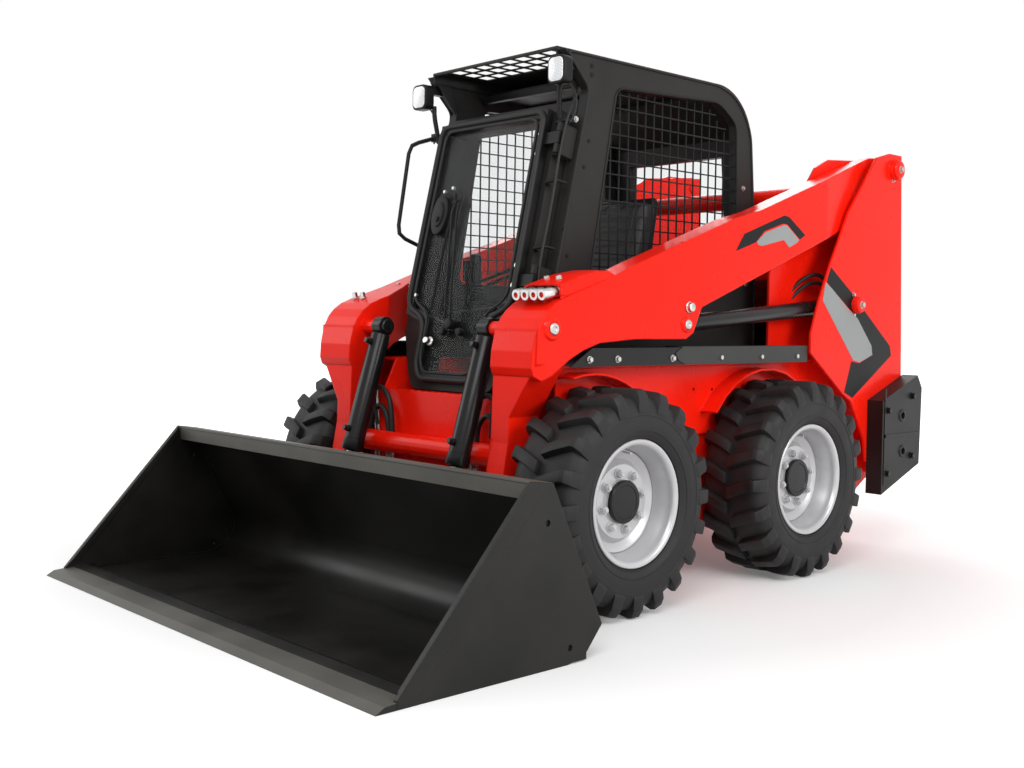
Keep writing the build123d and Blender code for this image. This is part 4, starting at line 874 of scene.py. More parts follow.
class LOADER_OT_door(bpy.types.Operator):
    """Trim the cab's door with its seals, hinge bolts, latch, wiper and knobs"""

    bl_idname = "loader.door"
    bl_label = "Trim the door"

    def execute(self, context):
        outline = [(0.300, 1.826), (0.306, 1.082), (0.185, 1.030), (0.185, 0.850), (0.150, 0.795),
                   (-0.150, 0.795),
                   (-0.185, 0.850), (-0.185, 1.030), (-0.306, 1.082), (-0.300, 1.826)]
        # rubber seal proud of the door's edge, a tube round the whole door
        mesh = bmesh.new()
        line = [on_door(across, height, 0.002) for across, height in outline]
        line = rounded([line[-1]] + line + [line[0]], 0.05)[1:-1]
        swept(mesh, line, 0.011, sides=10, closed=True)
        make_piece("door_seal", mesh, "door", "hose_rubber", smooth=50)
        mesh = bmesh.new()
        inner = [(across * 0.90, height - 0.022 if height > 1.5 else height + 0.024) for across,
                 height in outline]
        line = [on_door(across, height, 0.001) for across, height in inner]
        line = rounded([line[-1]] + line + [line[0]], 0.05)[1:-1]
        swept(mesh, line, 0.006, sides=8, closed=True)
        make_piece("door_glass_seal", mesh, "door", "hose_rubber", smooth=50)
        self.latch()
        self.wiper()
        self.hinges()
        return {"FINISHED"}

    def latch(self):
        mesh = bmesh.new()
        # oval escutcheon with a recessed paddle and a lock barrel
        for scale, low, high in ((1.0, -0.004, 0.014), (0.62, 0.012, 0.020)):
            ring = [(-0.205 + 0.048 * scale * math.cos(turn),
                     1.452 + 0.083 * scale * math.sin(turn)) for turn in
                    [math.tau * step / 40 for step in range(40)]]
            moved = add_prism(mesh, [on_door(across, height, low) for across, height in ring],
                              DOOR_OUT * (high - low))
            rim = [edge for edge in {edge for vert in moved for edge in vert.link_edges}
                   if all(vert in moved for vert in edge.verts)]
            round_edges(mesh, rim, 0.005, 3)
        add_rod(mesh, on_door(-0.205, 1.432, 0.018), on_door(-0.205, 1.432, 0.026), 0.011, sides=20,
                bevel=0.001)
        make_piece("door_latch", mesh, "door", "grained_plastic", smooth=35)
        mesh = bmesh.new()
        for across, height in ((-0.205, 1.548), (-0.262, 1.125), (-0.155, 1.560)):
            add_rod(mesh, on_door(across, height, -0.002), on_door(across, height, 0.010), 0.007, sides=14,
                    bevel=0.001)
        make_piece("door_studs", mesh, "door", "zinc_steel", smooth=35)

    def wiper(self):
        mesh = bmesh.new()
        # twin arms from the pivot at the foot of the glass up to the blade
        for start, end in (((-0.018, 1.010), (-0.095, 1.500)), ((0.012, 1.010), (-0.065, 1.500))):
            swept(mesh, [on_door(*start, 0.016), on_door(*start, 0.030),
                         on_door(start[0] - 0.012, start[1] + 0.1, 0.040),
                         on_door(end[0], end[1] - 0.05, 0.036), on_door(*end, 0.024)], 0.0055, sides=8)
        foot, head = on_door(-0.140, 1.060, 0.012), on_door(-0.120, 1.530, 0.012)
        swept(mesh, [foot, foot.lerp(head, 0.5) + DOOR_OUT * 0.004, head], 0.007, sides=6)
        add_rod(mesh, on_door(-0.003, 1.008, -0.004), on_door(-0.003, 1.008, 0.034), 0.022, sides=24,
                bevel=0.004)
        add_rod(mesh, on_door(-0.080, 1.500, 0.024), on_door(-0.128, 1.494, 0.016), 0.006, sides=10)
        make_piece("wiper", mesh, "door", "grained_plastic", smooth=45)
        mesh = bmesh.new()
        # two knobs at the foot of the glass
        add_rod(mesh, on_door(-0.045, 0.978, -0.004), on_door(-0.045, 0.978, 0.022), 0.015, sides=20,
                bevel=0.003)
        add_rod(mesh, on_door(0.055, 0.978, -0.004), on_door(0.055, 0.978, 0.022), 0.015, sides=20,
                bevel=0.003)
        make_piece("wiper_knobs", mesh, "door", "grained_plastic", smooth=40)
        mesh = bmesh.new()
        add_turned(mesh, [(-0.004, 0.0), (-0.004, 0.018), (0.004, 0.019), (0.007, 0.016), (0.009, 0.012),
                          (0.026, 0.0135),
                          (0.029, 0.011), (0.029, 0.0)], on_door(-0.124, 0.941), DOOR_OUT, steps=32)
        make_piece("release_knob", mesh, "door", "zinc_steel", smooth=35)

    def hinges(self):
        """Hinge bolts, and the clips and washer hose in the channel beside the door."""
        mesh = bmesh.new()
        for height in (1.16, 1.235, 1.66, 1.735):
            add_rod(mesh, on_door(0.296, height, -0.001), on_door(0.296, height, 0.006), 0.010, sides=16,
                    bevel=0.002)
        make_piece("hinge_bolts", mesh, "door", "zinc_steel", smooth=40)
        mesh = bmesh.new()
        for height in (1.30, 1.55, 1.78):
            swept(mesh, rounded([on_door(0.345, height, -0.045), on_door(0.352, height, -0.012),
                                 on_door(0.392, height + 0.012, -0.030),
                                 on_door(0.398, height + 0.014, -0.075)], 0.015),
                  0.0065, sides=8)
        make_piece("channel_clips", mesh, "frame", "grained_plastic", smooth=50)
        add_hose("washer_hose", [on_door(0.384, 1.90, -0.060), on_door(0.398, 1.84, -0.030),
                                 on_door(0.392, 1.70, -0.020),
                                 on_door(0.396, 1.45, -0.028), on_door(0.388, 1.20, -0.024),
                                 on_door(0.392, 1.08, -0.050)],
                 0.005, "frame", "hose_rubber")


class LOADER_OT_cab(bpy.types.Operator):
    """Fit the cab's lamps, roof skin, bolts, edge beads and window trim"""

    bl_idname = "loader.cab"
    bl_label = "Fit the cab"

    def execute(self, context):
        self.lamps()
        self.shell()
        self.roof()
        self.headliner()
        return {"FINISHED"}

    def roof(self):
        """Thin folded skin: three rows of open squares ahead, beaded panel behind, flanges down the sides."""
        low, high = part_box("roof")
        mesh = bmesh.new()
        start, end, skin = low[1] + 0.033, low[1] + 0.245, high[2] - 0.004
        add_box(mesh, (low[0], end, skin - 0.002), (high[0], high[1], high[2]), 0.0015)
        add_box(mesh, (low[0], low[1], skin), (high[0], start, high[2]), 0.001)
        for sign in (1, -1):
            add_box(mesh, (sign * 0.296, start - 0.001, skin), (sign * high[0], end + 0.001, high[2]), 0.001)
            add_box(mesh, (sign * (high[0] - 0.006), low[1], low[2]), (sign * high[0], high[1], skin), 0.0015)
        for step in range(-3, 4):
            add_box(mesh, (step * 0.076 - 0.008, start - 0.001, skin),
                    (step * 0.076 + 0.008, end + 0.001, high[2]), 0.001)
        for y in ((start + end) / 2 - 0.038, (start + end) / 2 + 0.038):
            add_box(mesh, (-0.297, y - 0.008, skin), (0.297, y + 0.008, high[2]), 0.001)
        for across in (-0.24, -0.08, 0.08, 0.24):
            add_box(mesh, (across - 0.022, end + 0.060, high[2] - 0.002),
                    (across + 0.022, high[1] - 0.060, high[2] + 0.004), 0.004)
        piece = make_piece("roof_skin", mesh, "frame", "cab_satin", smooth=35)
        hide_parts("roof")

    def lamps(self):
        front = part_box("work_lamps")[0][1]
        for side, sign in SIDES:
            across = sign * CAB_SIDE
            mesh = bmesh.new()
            # moulded body: a rounded square shell, then the lens
            add_tile(mesh, (across - 0.0445, front - 0.0035, LAMP_Z - 0.052),
                     (across + 0.0445, front + 0.0435, LAMP_Z + 0.052),
                     0.024, 0.004)
            make_piece(f"lamp_body_{side}", mesh, "frame", "black_satin", smooth=35)
            mesh = bmesh.new()
            add_tile(mesh, (across - 0.0365, front - 0.0065, LAMP_Z - 0.044),
                     (across + 0.0365, front + 0.004, LAMP_Z + 0.044),
                     0.020, 0.0025)
            make_piece(f"lamp_lens_{side}", mesh, "frame", "lamp_lens", smooth=40)
            # stay from the lamp down to the pillar, and its cable
            mesh = bmesh.new()
            swept(mesh, rounded([(sign * 0.372, -0.372, 1.925), (sign * 0.366, -0.375, 1.880),
                                 (sign * 0.358, -0.362, 1.800),
                                 (sign * 0.362, -0.352, 1.772)], 0.02), 0.010, sides=10)
            make_piece(f"lamp_stay_{side}", mesh, "frame", "black_satin", smooth=45)
            add_hose(f"lamp_cable_{side}", [(sign * 0.404, -0.372, 1.925), (sign * 0.412, -0.345, 1.905),
                                            (sign * 0.408, -0.320, 1.860),
                                            (sign * 0.406, -0.332, 1.800), (sign * 0.398, -0.350, 1.775)],
                     0.0035, "frame", "hose_rubber")

    def shell(self):
        for side, sign in SIDES:
            mesh = bmesh.new()
            # folded bead that follows the cab's outline over the roof and down the back
            outline = [(-0.470, 0.905), (-0.409, 1.223), (-0.247, 1.914), (-0.376, 2.040), (0.560, 2.040),
                       (0.655, 2.015),
                       (0.720, 1.972), (0.770, 1.905), (0.795, 1.845), (0.843, 1.300), (0.843, 0.905)]
            line = rounded([(sign * (CAB_SIDE + 0.001), y, z) for y, z in outline], 0.03, steps=3)
            swept(mesh, line, 0.0055, sides=8)
            make_piece(f"cab_bead_{side}", mesh, "frame", "cab_satin", smooth=50)
            mesh = bmesh.new()
            for y, z in ((-0.246, 1.716), (-0.271, 1.615), (-0.356, 1.274), (-0.377, 1.375)):
                add_turned(mesh, [(-0.001, 0.0085), (0.0018, 0.008), (0.0018, 0.0)], (sign * CAB_SIDE, y, z),
                           (sign, 0, 0), steps=20)
            for y, z in ((-0.236, 2.002), (-0.235, 1.968)):
                add_turned(mesh, [(-0.001, 0.0095), (0.0015, 0.009), (0.0015, 0.0)], (sign * CAB_SIDE, y, z),
                           (sign, 0, 0), steps=20)
            make_piece(f"cab_plugs_{side}", mesh, "frame", "stripe_black", smooth=40)
            mesh = bmesh.new()
            for y, z in ((-0.320, 1.790), (-0.432, 1.108), (0.745, 1.62), (0.780, 1.20)):
                add_hex(mesh, (sign * CAB_SIDE, y, z), (sign, 0, 0), 0.009, 0.006)
            make_piece(f"cab_bolts_{side}", mesh, "frame", "zinc_steel", smooth=35)
            # rounded trim seated round the window's cut edge
            mesh = bmesh.new()
            edge = [(-0.232, 1.180), (-0.092, 1.940), (0.560, 1.970), (0.690, 1.890), (0.712, 1.180)]
            ring = [Vector((sign * (CAB_SIDE + 0.0005), y, z)) for y, z in edge]
            line = rounded([ring[-1]] + ring + [ring[0]], 0.045, steps=5)[1:-1]
            swept(mesh, line, 0.005, sides=8, closed=True)
            make_piece(f"window_trim_{side}", mesh, "frame", "black_satin", smooth=50)

    def headliner(self):
        mesh = bmesh.new()
        # stiffening ribs and dark lining under the roof behind the grille
        add_box(mesh, (-0.350, -0.085, 1.990), (0.350, 0.520, 2.014), 0.008)
        for y in (-0.105, 0.170, 0.440):
            add_box(mesh, (-0.355, y - 0.015, 1.966), (0.355, y + 0.015, 1.994), 0.005)
        make_piece("headliner", mesh, "frame", "grained_plastic", smooth=35)
        mesh = bmesh.new()
        # rolled front edge of the visor and its two hanging gussets
        swept(mesh, [(-0.3615, -0.3835, 2.053), (0.3615, -0.3835, 2.053)], 0.0065, sides=12)
        for sign in (1, -1):
            add_plate(mesh, [(-0.372, 2.016), (-0.300, 2.016), (-0.262, 1.930), (-0.268, 1.900)], 0.008,
                      sign * 0.350, sign)
        make_piece("visor_edge", mesh, "frame", "cab_satin", smooth=45)
        mesh = bmesh.new()
        for across in (-0.33, -0.11, 0.11, 0.33):
            add_hex(mesh, (across, 0.545, 2.061), (0, 0, 1), 0.010, 0.006)
            add_hex(mesh, (across, -0.092, 2.061), (0, 0, 1), 0.010, 0.006)
        make_piece("roof_bolts", mesh, "frame", "black_satin", smooth=35)


class LOADER_OT_interior(bpy.types.Operator):
    """Upholster the seat and fit its belt, the levers and the armrests"""

    bl_idname = "loader.interior"
    bl_label = "Fit out the cab"

    def execute(self, context):
        self.cushions()
        self.levers()
        return {"FINISHED"}

    def cushions(self):
        base = self.pad("seat_cushion", (-0.222, -0.155, 1.012), (0.222, 0.215, 1.106), (0, 0.09, 1.06), 0.0)
        self.pad("seat_back", (-0.215, -0.045, 0.0), (0.215, 0.045, 0.46), (0, 0.262, 1.098), math.radians(-13))
        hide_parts("seat")
        mesh = bmesh.new()
        # moulded shell behind and under the cushions
        spine = [(0.252, 1.035), (0.330, 1.055), (0.420, 1.545), (0.395, 1.570), (0.372, 1.545),
                 (0.292, 1.075)]
        add_prism(mesh, [(-0.205, y, z) for y, z in spine], (0.41, 0, 0))
        round_edges(mesh, list(mesh.edges), 0.012, 3)
        add_box(mesh, (-0.195, -0.130, 0.994), (0.195, 0.270, 1.016), 0.006)
        make_piece("seat_shell", mesh, "frame", "grained_plastic", smooth=35)
        mesh = bmesh.new()
        # lap belt: webbing over the cushion to a square buckle
        webbing = [(-0.232, 0.215, 1.03), (-0.226, 0.150, 1.108), (-0.120, 0.060, 1.126),
                   (0.020, 0.020, 1.130), (0.120, 0.060, 1.127),
                   (0.226, 0.150, 1.108), (0.232, 0.215, 1.03)]
        rows = [[mesh.verts.new((x, y - 0.023, z)), mesh.verts.new((x, y + 0.023, z + 0.002))] for x, y,
                z in webbing]
        for first, second in zip(rows, rows[1:]):
            mesh.faces.new((first[0], first[1], second[1], second[0]))
        bmesh.ops.subdivide_edges(mesh, edges=list(mesh.edges), cuts=2, use_grid_fill=True)
        bmesh.ops.solidify(mesh, geom=list(mesh.faces), thickness=0.0022)
        make_piece("lap_belt", mesh, "frame", "belt_webbing", smooth=60)
        mesh = bmesh.new()
        add_box(mesh, (-0.030, -0.006, 1.128), (0.034, 0.046, 1.146), 0.004)
        make_piece("belt_buckle", mesh, "frame", "grained_plastic", smooth=35)

    def pad(self, name, low, high, seat, tilt):
        mesh = bmesh.new()
        add_box(mesh, low, high, 0.022, segments=3)
        bmesh.ops.triangulate(mesh, faces=[face for face in mesh.faces if len(face.verts) > 4])
        data = bpy.data.meshes.new(name)
        mesh.to_mesh(data)
        mesh.free()
        piece = bpy.data.objects.new(name, data)
        bpy.context.scene.collection.objects.link(piece)
        bpy.context.view_layer.objects.active = piece
        remesh = piece.modifiers.new("remesh", "REMESH")
        remesh.mode = "VOXEL"
        remesh.voxel_size = 0.006
        self.apply(piece, remesh)
        self.swell(piece)
        smooth = piece.modifiers.new("smooth", "SMOOTH")
        smooth.factor = 0.5
        smooth.iterations = 4
        self.apply(piece, smooth)
        self.channels(piece, name)
        fine = piece.modifiers.new("fine", "SUBSURF")
        fine.levels = fine.render_levels = 1
        self.apply(piece, fine)
        if tilt:
            piece.data.transform(Matrix.Translation(seat) @ Matrix.Rotation(tilt, 4, "X"))
        for face in piece.data.polygons:
            face.use_smooth = True
        piece.data.materials.clear()
        piece.data.materials.append(finishes["seat_vinyl"])
        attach(piece, "frame")
        return piece

    def apply(self, piece, modifier):
        graph = bpy.context.evaluated_depsgraph_get()
        data = bpy.data.meshes.new_from_object(piece.evaluated_get(graph))
        piece.modifiers.remove(modifier)
        old = piece.data
        piece.data = data
        bpy.data.meshes.remove(old)

    def swell(self, piece):
        """Inflates the pad with cloth under pressure, and caps how far any point may move."""
        rest = [vert.co.copy() for vert in piece.data.vertices]
        cloth = piece.modifiers.new("cloth", "CLOTH")
        cloth.settings.use_pressure = True
        cloth.settings.uniform_pressure_force = 4.0
        cloth.settings.effector_weights.gravity = 0.0
        cloth.collision_settings.use_self_collision = False
        scene = bpy.context.scene
        for step in range(1, 21):
            scene.frame_set(step)
        self.apply(piece, cloth)
        scene.frame_set(1)
        for vert, start in zip(piece.data.vertices, rest):
            shift = vert.co - start
            if shift.length > PAD_SWELL:
                vert.co = start + shift.normalized() * PAD_SWELL

    def channels(self, piece, name):
        """Sewn channels across the cushion: shallow grooves with a soft crown between them."""
        level = name == "seat_cushion"
        for vert in piece.data.vertices:
            along = vert.co.y if level else vert.co.z
            inside = abs(vert.co.x) < 0.150
            facing = vert.co.z > 1.06 if level else vert.co.y < 0.0
            if facing:
                groove = abs(((along * 1000) % CHANNEL_PITCH) - CHANNEL_PITCH / 2) / (CHANNEL_PITCH / 2)
                depth = max(0.0, groove - 0.72) / 0.28
                if inside:
                    shift = -0.005 * depth
                else:
                    shift = -0.006 * max(0.0, 1 - abs(abs(vert.co.x) - 0.155) / 0.008)
                if level:
                    vert.co.z += shift
                else:
                    vert.co.y -= shift

    def levers(self):
        for side, sign in SIDES:
            mesh = bmesh.new()
            foot = Vector((sign * 0.212, -0.250, 1.105))
            # ribbed boot, stem, and a shaped grip
            boot = [(0.0, 0.048), (0.012, 0.050), (0.018, 0.040), (0.026, 0.043), (0.032, 0.033),
                    (0.040, 0.036), (0.046, 0.026),
                    (0.056, 0.028), (0.062, 0.018), (0.075, 0.015)]
            add_turned(mesh, boot, foot, (0, 0, 1), steps=28)
            grip = [(0.070, 0.012), (0.112, 0.013), (0.118, 0.021), (0.150, 0.025), (0.175, 0.0215),
                    (0.200, 0.0245),
                    (0.222, 0.0265), (0.236, 0.022), (0.241, 0.012), (0.2415, 0.0)]
            add_turned(mesh, grip, foot - Vector((0, 0.006, 0.040)), (0, -0.06, 1), steps=28)
            make_piece(f"lever_{side}", mesh, "frame", "grained_plastic", smooth=45)
            mesh = bmesh.new()
            add_box(mesh, (sign * 0.282 - 0.055, -0.060, 1.092), (sign * 0.282 + 0.055, 0.170, 1.128), 0.014,
                    segments=3)
            make_piece(f"armrest_{side}", mesh, "frame", "grained_plastic", smooth=40)


# ------------------------------------------------------------------ body
class LOADER_OT_body(bpy.types.Operator):
    """Fit the rails, front hoses, hood, engine door, tail lamps and counterweights"""

    bl_idname = "loader.body"
    bl_label = "Fit the body"

    def execute(self, context):
        self.rails()
        self.front()
        self.hood()
        self.engine_door()
        self.weights()
        self.belly()
        return {"FINISHED"}

    def rails(self):
        for side, sign in SIDES:
            mesh = bmesh.new()
            for y in (-0.480, -0.330, -0.015, 0.285, 0.560, 0.820):
                add_hex(mesh, (sign * ARM_SIDE, y, 0.893), (sign, 0, 0), 0.0105, 0.009)
            make_piece(f"rail_bolts_{side}", mesh, "frame", "zinc_steel", smooth=35)
            mesh = bmesh.new()
            # cover strip folded over the rail from the second third back
            strip = [(0.000, 0.912), (0.045, 0.9365), (0.900, 0.9365), (0.900, 0.868), (0.060, 0.868),
                     (0.020, 0.884)]
            add_plate(mesh, strip, 0.0035, sign * ARM_SIDE, sign)
            add_box(mesh, (sign * 0.6415, 0.045, 0.934), (sign * 0.556, 0.900, 0.9375), 0.001)
            make_piece(f"rail_cover_{side}", mesh, "frame", "rail_grey", smooth=35)
            mesh = bmesh.new()
            for y in (-0.10, 0.02, 0.14):
                add_turned(mesh, [(-0.001, 0.006), (0.0012, 0.0055), (0.0012, 0.0)],
                           (sign * 0.5535, y + 0.33, 0.760 - 0.03 * y),
                           (sign, 0, 0), steps=16)
            make_piece(f"fender_plugs_{side}", mesh, "frame", "stripe_black", smooth=40)

    def front(self):
        """Hose loops between the lift arms' feet and the chassis, with their steel ends."""
        for side, sign in reversed(SIDES):
            for index, (line, radius) in enumerate((
                    (((0.425, -0.692, 0.455), (0.420, -0.692, 0.560), (0.395, -0.682, 0.700),
                      (0.335, -0.679, 0.765),
                      (0.262, -0.682, 0.730), (0.236, -0.684, 0.650), (0.236, -0.678, 0.520)), 0.0105),
                    (((0.400, -0.682, 0.440), (0.398, -0.682, 0.520), (0.372, -0.677, 0.640),
                      (0.325, -0.676, 0.690),
                      (0.278, -0.678, 0.650), (0.264, -0.678, 0.590), (0.264, -0.674, 0.490)), 0.0105),
                    (((0.440, -0.672, 0.860), (0.400, -0.680, 0.840), (0.372, -0.684, 0.760),
                      (0.352, -0.684, 0.700),
                      (0.340, -0.676, 0.600)), 0.008))):
                points = [(sign * x, y, z) for x, y, z in line]
                add_hose(f"front_hose_{side}_{index}", points, radius, "frame", "hose_rubber",
                         steps=14)
            mesh = bmesh.new()
            for x, y, z, low in ((0.236, -0.678, 0.520, 0.440), (0.264, -0.674, 0.490, 0.410),
                                 (0.425, -0.692, 0.455, 0.400),
                                 (0.400, -0.682, 0.440, 0.390)):
                start = Vector((sign * x, y, z + 0.030))
                add_rod(mesh, start, start - Vector((0, 0, 0.040)), 0.0135, sides=24, bevel=0.0012)
                add_rod(mesh, start - Vector((0, 0, 0.038)), start - Vector((0, 0, 0.056)), 0.0155, sides=6)
                add_rod(mesh, start - Vector((0, 0, 0.055)), Vector((sign * x, y, low)), 0.0095, sides=18)
            make_piece(f"hose_ends_{side}", mesh, "frame", "zinc_steel", smooth=35)
            mesh = bmesh.new()
            # bracket that holds the hose ends to the front panel
            add_box(mesh, (sign * 0.228, -0.690, 0.418), (sign * 0.440, -0.646, 0.428), 0.002)
            add_box(mesh, (sign * 0.228, -0.656, 0.380), (sign * 0.440, -0.648, 0.428), 0.002)
            make_piece(f"hose_bracket_{side}", mesh, "frame", "red_enamel", smooth=35)
            mesh = bmesh.new()
            for points in (((0.352, -0.655, 0.420), (0.356, -0.656, 0.600), (0.372, -0.660, 0.780),
                            (0.392, -0.655, 0.860)),
                           ((0.376, -0.655, 0.420), (0.380, -0.656, 0.600), (0.396, -0.660, 0.770),
                            (0.412, -0.655, 0.850))):
                swept(mesh, rounded([(sign * x, y, z) for x, y, z in points], 0.08, steps=4), 0.0065,
                      sides=10)
            make_piece(f"front_pipes_{side}", mesh, "frame", "zinc_steel", smooth=45)
        mesh = bmesh.new()
        # grip studs on the sill
        for step in range(9):
            across = -0.168 + step * 0.042
            add_rod(mesh, (across, -0.630, 0.7445), (across, -0.630, 0.7475), 0.011, sides=18, bevel=0.001)
        make_piece("sill_studs", mesh, "frame", "red_enamel", smooth=40)

    def hood(self):
        mesh = bmesh.new()
        # louvres, then a lifting handle and bolts
        def slope(y):
            """Height of the hood's sloping top."""
            return 1.294 + (y - 0.858) * (1.210 - 1.294) / (1.485 - 0.858)

        for step in range(11):
            y = 0.960 + step * 0.040
            add_box(mesh, (-0.330, y, slope(y) - 0.001), (0.330, y + 0.017, slope(y) + 0.006), 0.002)
        make_piece("hood_louvres", mesh, "hood_body", "black_satin", smooth=40)
        mesh = bmesh.new()
        swept(mesh, rounded([(-0.080, 1.425, 1.214), (-0.080, 1.428, 1.246), (0.080, 1.428, 1.246),
                             (0.080, 1.425, 1.214)], 0.02),
              0.007, sides=10)
        make_piece("hood_handle", mesh, "hood_body", "black_satin", smooth=45)
        mesh = bmesh.new()
        for across in (-0.440, 0.440):
            for y in (0.905, 1.180, 1.440):
                add_hex(mesh, (across, y, slope(y) - 0.001), (0, 0.13, 1), 0.010, 0.007)
        make_piece("hood_bolts", mesh, "hood_body", "zinc_steel", smooth=35)

    def engine_door(self):
        low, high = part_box("engine_door")
        back = high[1]
        mesh = bmesh.new()
        # mesh ahead of the slots: level and upright wires
        for step in range(24):
            z = 0.700 + step * 0.0135
            add_rod(mesh, (-0.310, low[1] + 0.012, z), (0.310, low[1] + 0.012, z), 0.0011, sides=5)
        for step in range(46):
            x = -0.304 + step * 0.0135
            add_rod(mesh, (x, low[1] + 0.010, 0.695), (x, low[1] + 0.010, 1.012), 0.0011, sides=5)
        make_piece("engine_screen", mesh, "engine_door_body", "black_satin")
        self.radiator(low[1])
        mesh = bmesh.new()
        add_box(mesh, (-0.425, back - 0.004, 0.800), (-0.350, back + 0.010, 0.880), 0.008, segments=3)
        add_box(mesh, (-0.412, back + 0.006, 0.822), (-0.363, back + 0.018, 0.858), 0.006, segments=3)
        make_piece("engine_latch", mesh, "engine_door_body", "grained_plastic", smooth=40)
        for side, sign in SIDES:
            mesh = bmesh.new()
            add_box(mesh, (sign * 0.385, back - 0.012, 0.625), (sign * 0.455, back + 0.006, 0.715), 0.010,
                    segments=3)
            make_piece(f"tail_lamp_body_{side}", mesh, "engine_door_body", "grained_plastic",
                       smooth=40)
            mesh = bmesh.new()
            add_turned(mesh, [(0.0, 0.026), (0.005, 0.026), (0.008, 0.022), (0.009, 0.010), (0.0092, 0.0)],
                       (sign * 0.420, back + 0.005, 0.670), (0, 1, 0), steps=36)
            make_piece(f"tail_lamp_{side}", mesh, "engine_door_body", "tail_lens", smooth=60)
        mesh = bmesh.new()
        # plain plate, left blank
        add_box(mesh, (-0.150, back - 0.002, 0.600), (0.150, back + 0.003, 0.665), 0.002)
        make_piece("plain_plate", mesh, "engine_door_body", "steel_and_painted_highlight", smooth=35)

    def radiator(self, door_y):
        """Finned core with two header tanks, standing behind the door's slots."""
        mesh = bmesh.new()
        back, ahead = door_y - 0.030, door_y - 0.085
        for step in range(46):
            across = -0.290 + step * 0.0129
            add_box(mesh, (across - 0.0022, ahead, 0.672), (across + 0.0022, back, 1.026))
        add_box(mesh, (-0.292, ahead + 0.022, 0.670), (0.292, back - 0.022, 1.028), 0.002)
        for low_z, high_z in ((0.640, 0.674), (1.024, 1.060)):
            add_box(mesh, (-0.305, ahead - 0.006, low_z), (0.305, back + 0.006, high_z), 0.012, segments=3)
        for sign in (1, -1):
            add_box(mesh, (sign * 0.288, ahead - 0.002, 0.650), (sign * 0.312, back + 0.002, 1.050), 0.005)
        make_piece("radiator", mesh, "frame", "stripe_black", smooth=35)

    def weights(self):
        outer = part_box("counterweights")[1][0]
        for side, sign in SIDES:
            mesh = bmesh.new()
            # cast panel lines and two dowel bosses on the outer face, with bolts above and below
            face = sign * outer
            for points in (((1.400, 0.530), (1.726, 0.530), (1.726, 0.516), (1.400, 0.516)),
                           ((1.400, 0.300), (1.400, 0.740), (1.412, 0.740), (1.412, 0.300))):
                add_plate(mesh, points, 0.0030, face, sign)
            for y, z in ((1.560, 0.612), (1.568, 0.446)):
                add_turned(mesh, [(-0.001, 0.030), (0.004, 0.0275), (0.005, 0.024), (0.005, 0.0165),
                                  (-0.001, 0.0165)],
                           (face, y, z), (sign, 0, 0), steps=32)
            make_piece(f"weight_ribs_{side}", mesh, "frame", "cast_black", smooth=40)
            mesh = bmesh.new()
            for y, z in ((1.430, 0.350), (1.430, 0.640), (1.650, 0.420), (1.650, 0.700)):
                add_hex(mesh, (face, y, z), (sign, 0, 0), 0.014, 0.012)
            make_piece(f"weight_bolts_{side}", mesh, "frame", "dark_enamel", smooth=35)
            mesh = bmesh.new()
            # bolts on and beside the caps of the lift cylinder's base pin and the arm's pivot pin
            add_hex(mesh, (sign * 0.686, *LIFT_BASE), (sign, 0, 0), 0.0135, 0.010)
            for y, z in ((1.242, 1.166), (1.246, 1.075), (1.566, 1.708)):
                add_hex(mesh, (sign * POST_SIDE, y, z), (sign, 0, 0), 0.0085, 0.007)
            make_piece(f"upright_bolts_{side}", mesh, "frame", "zinc_steel", smooth=35)
            mesh = bmesh.new()
            add_turned(mesh, [(0.0, 0.036), (0.010, 0.036), (0.014, 0.032), (0.015, 0.020), (0.015, 0.0)],
                       (sign * BOSS_SIDE, *LIFT_BASE), (sign, 0, 0), steps=36)
            make_piece(f"base_cap_{side}", mesh, "frame", "red_enamel", smooth=35)
        for side, sign in SIDES:
            for index, shift in enumerate((0.0, 0.035)):
                add_hose(f"lift_hose_{side}_{index}",
                         [(sign * 0.590, 1.150, 1.160 + shift), (sign * 0.588, 1.120, 1.205 + shift),
                          (sign * 0.560, 1.060, 1.225 + shift), (sign * 0.530, 0.960, 1.165 + shift),
                          (sign * 0.505, 0.900, 1.080 + shift), (sign * 0.500, 0.900, 0.960)],
                         0.009, "frame", "hose_rubber")

    def belly(self):
        mesh = bmesh.new()
        for y in (-0.40, 0.10, 0.60, 1.10):
            for across in (-0.25, 0.25):
                add_hex(mesh, (across, y, 0.203), (0, 0, -1), 0.012, 0.006)
        add_box(mesh, (-0.120, 0.20, 0.197), (0.120, 0.40, 0.204), 0.003)
        make_piece("belly_cover", mesh, "frame", "red_enamel", smooth=35)


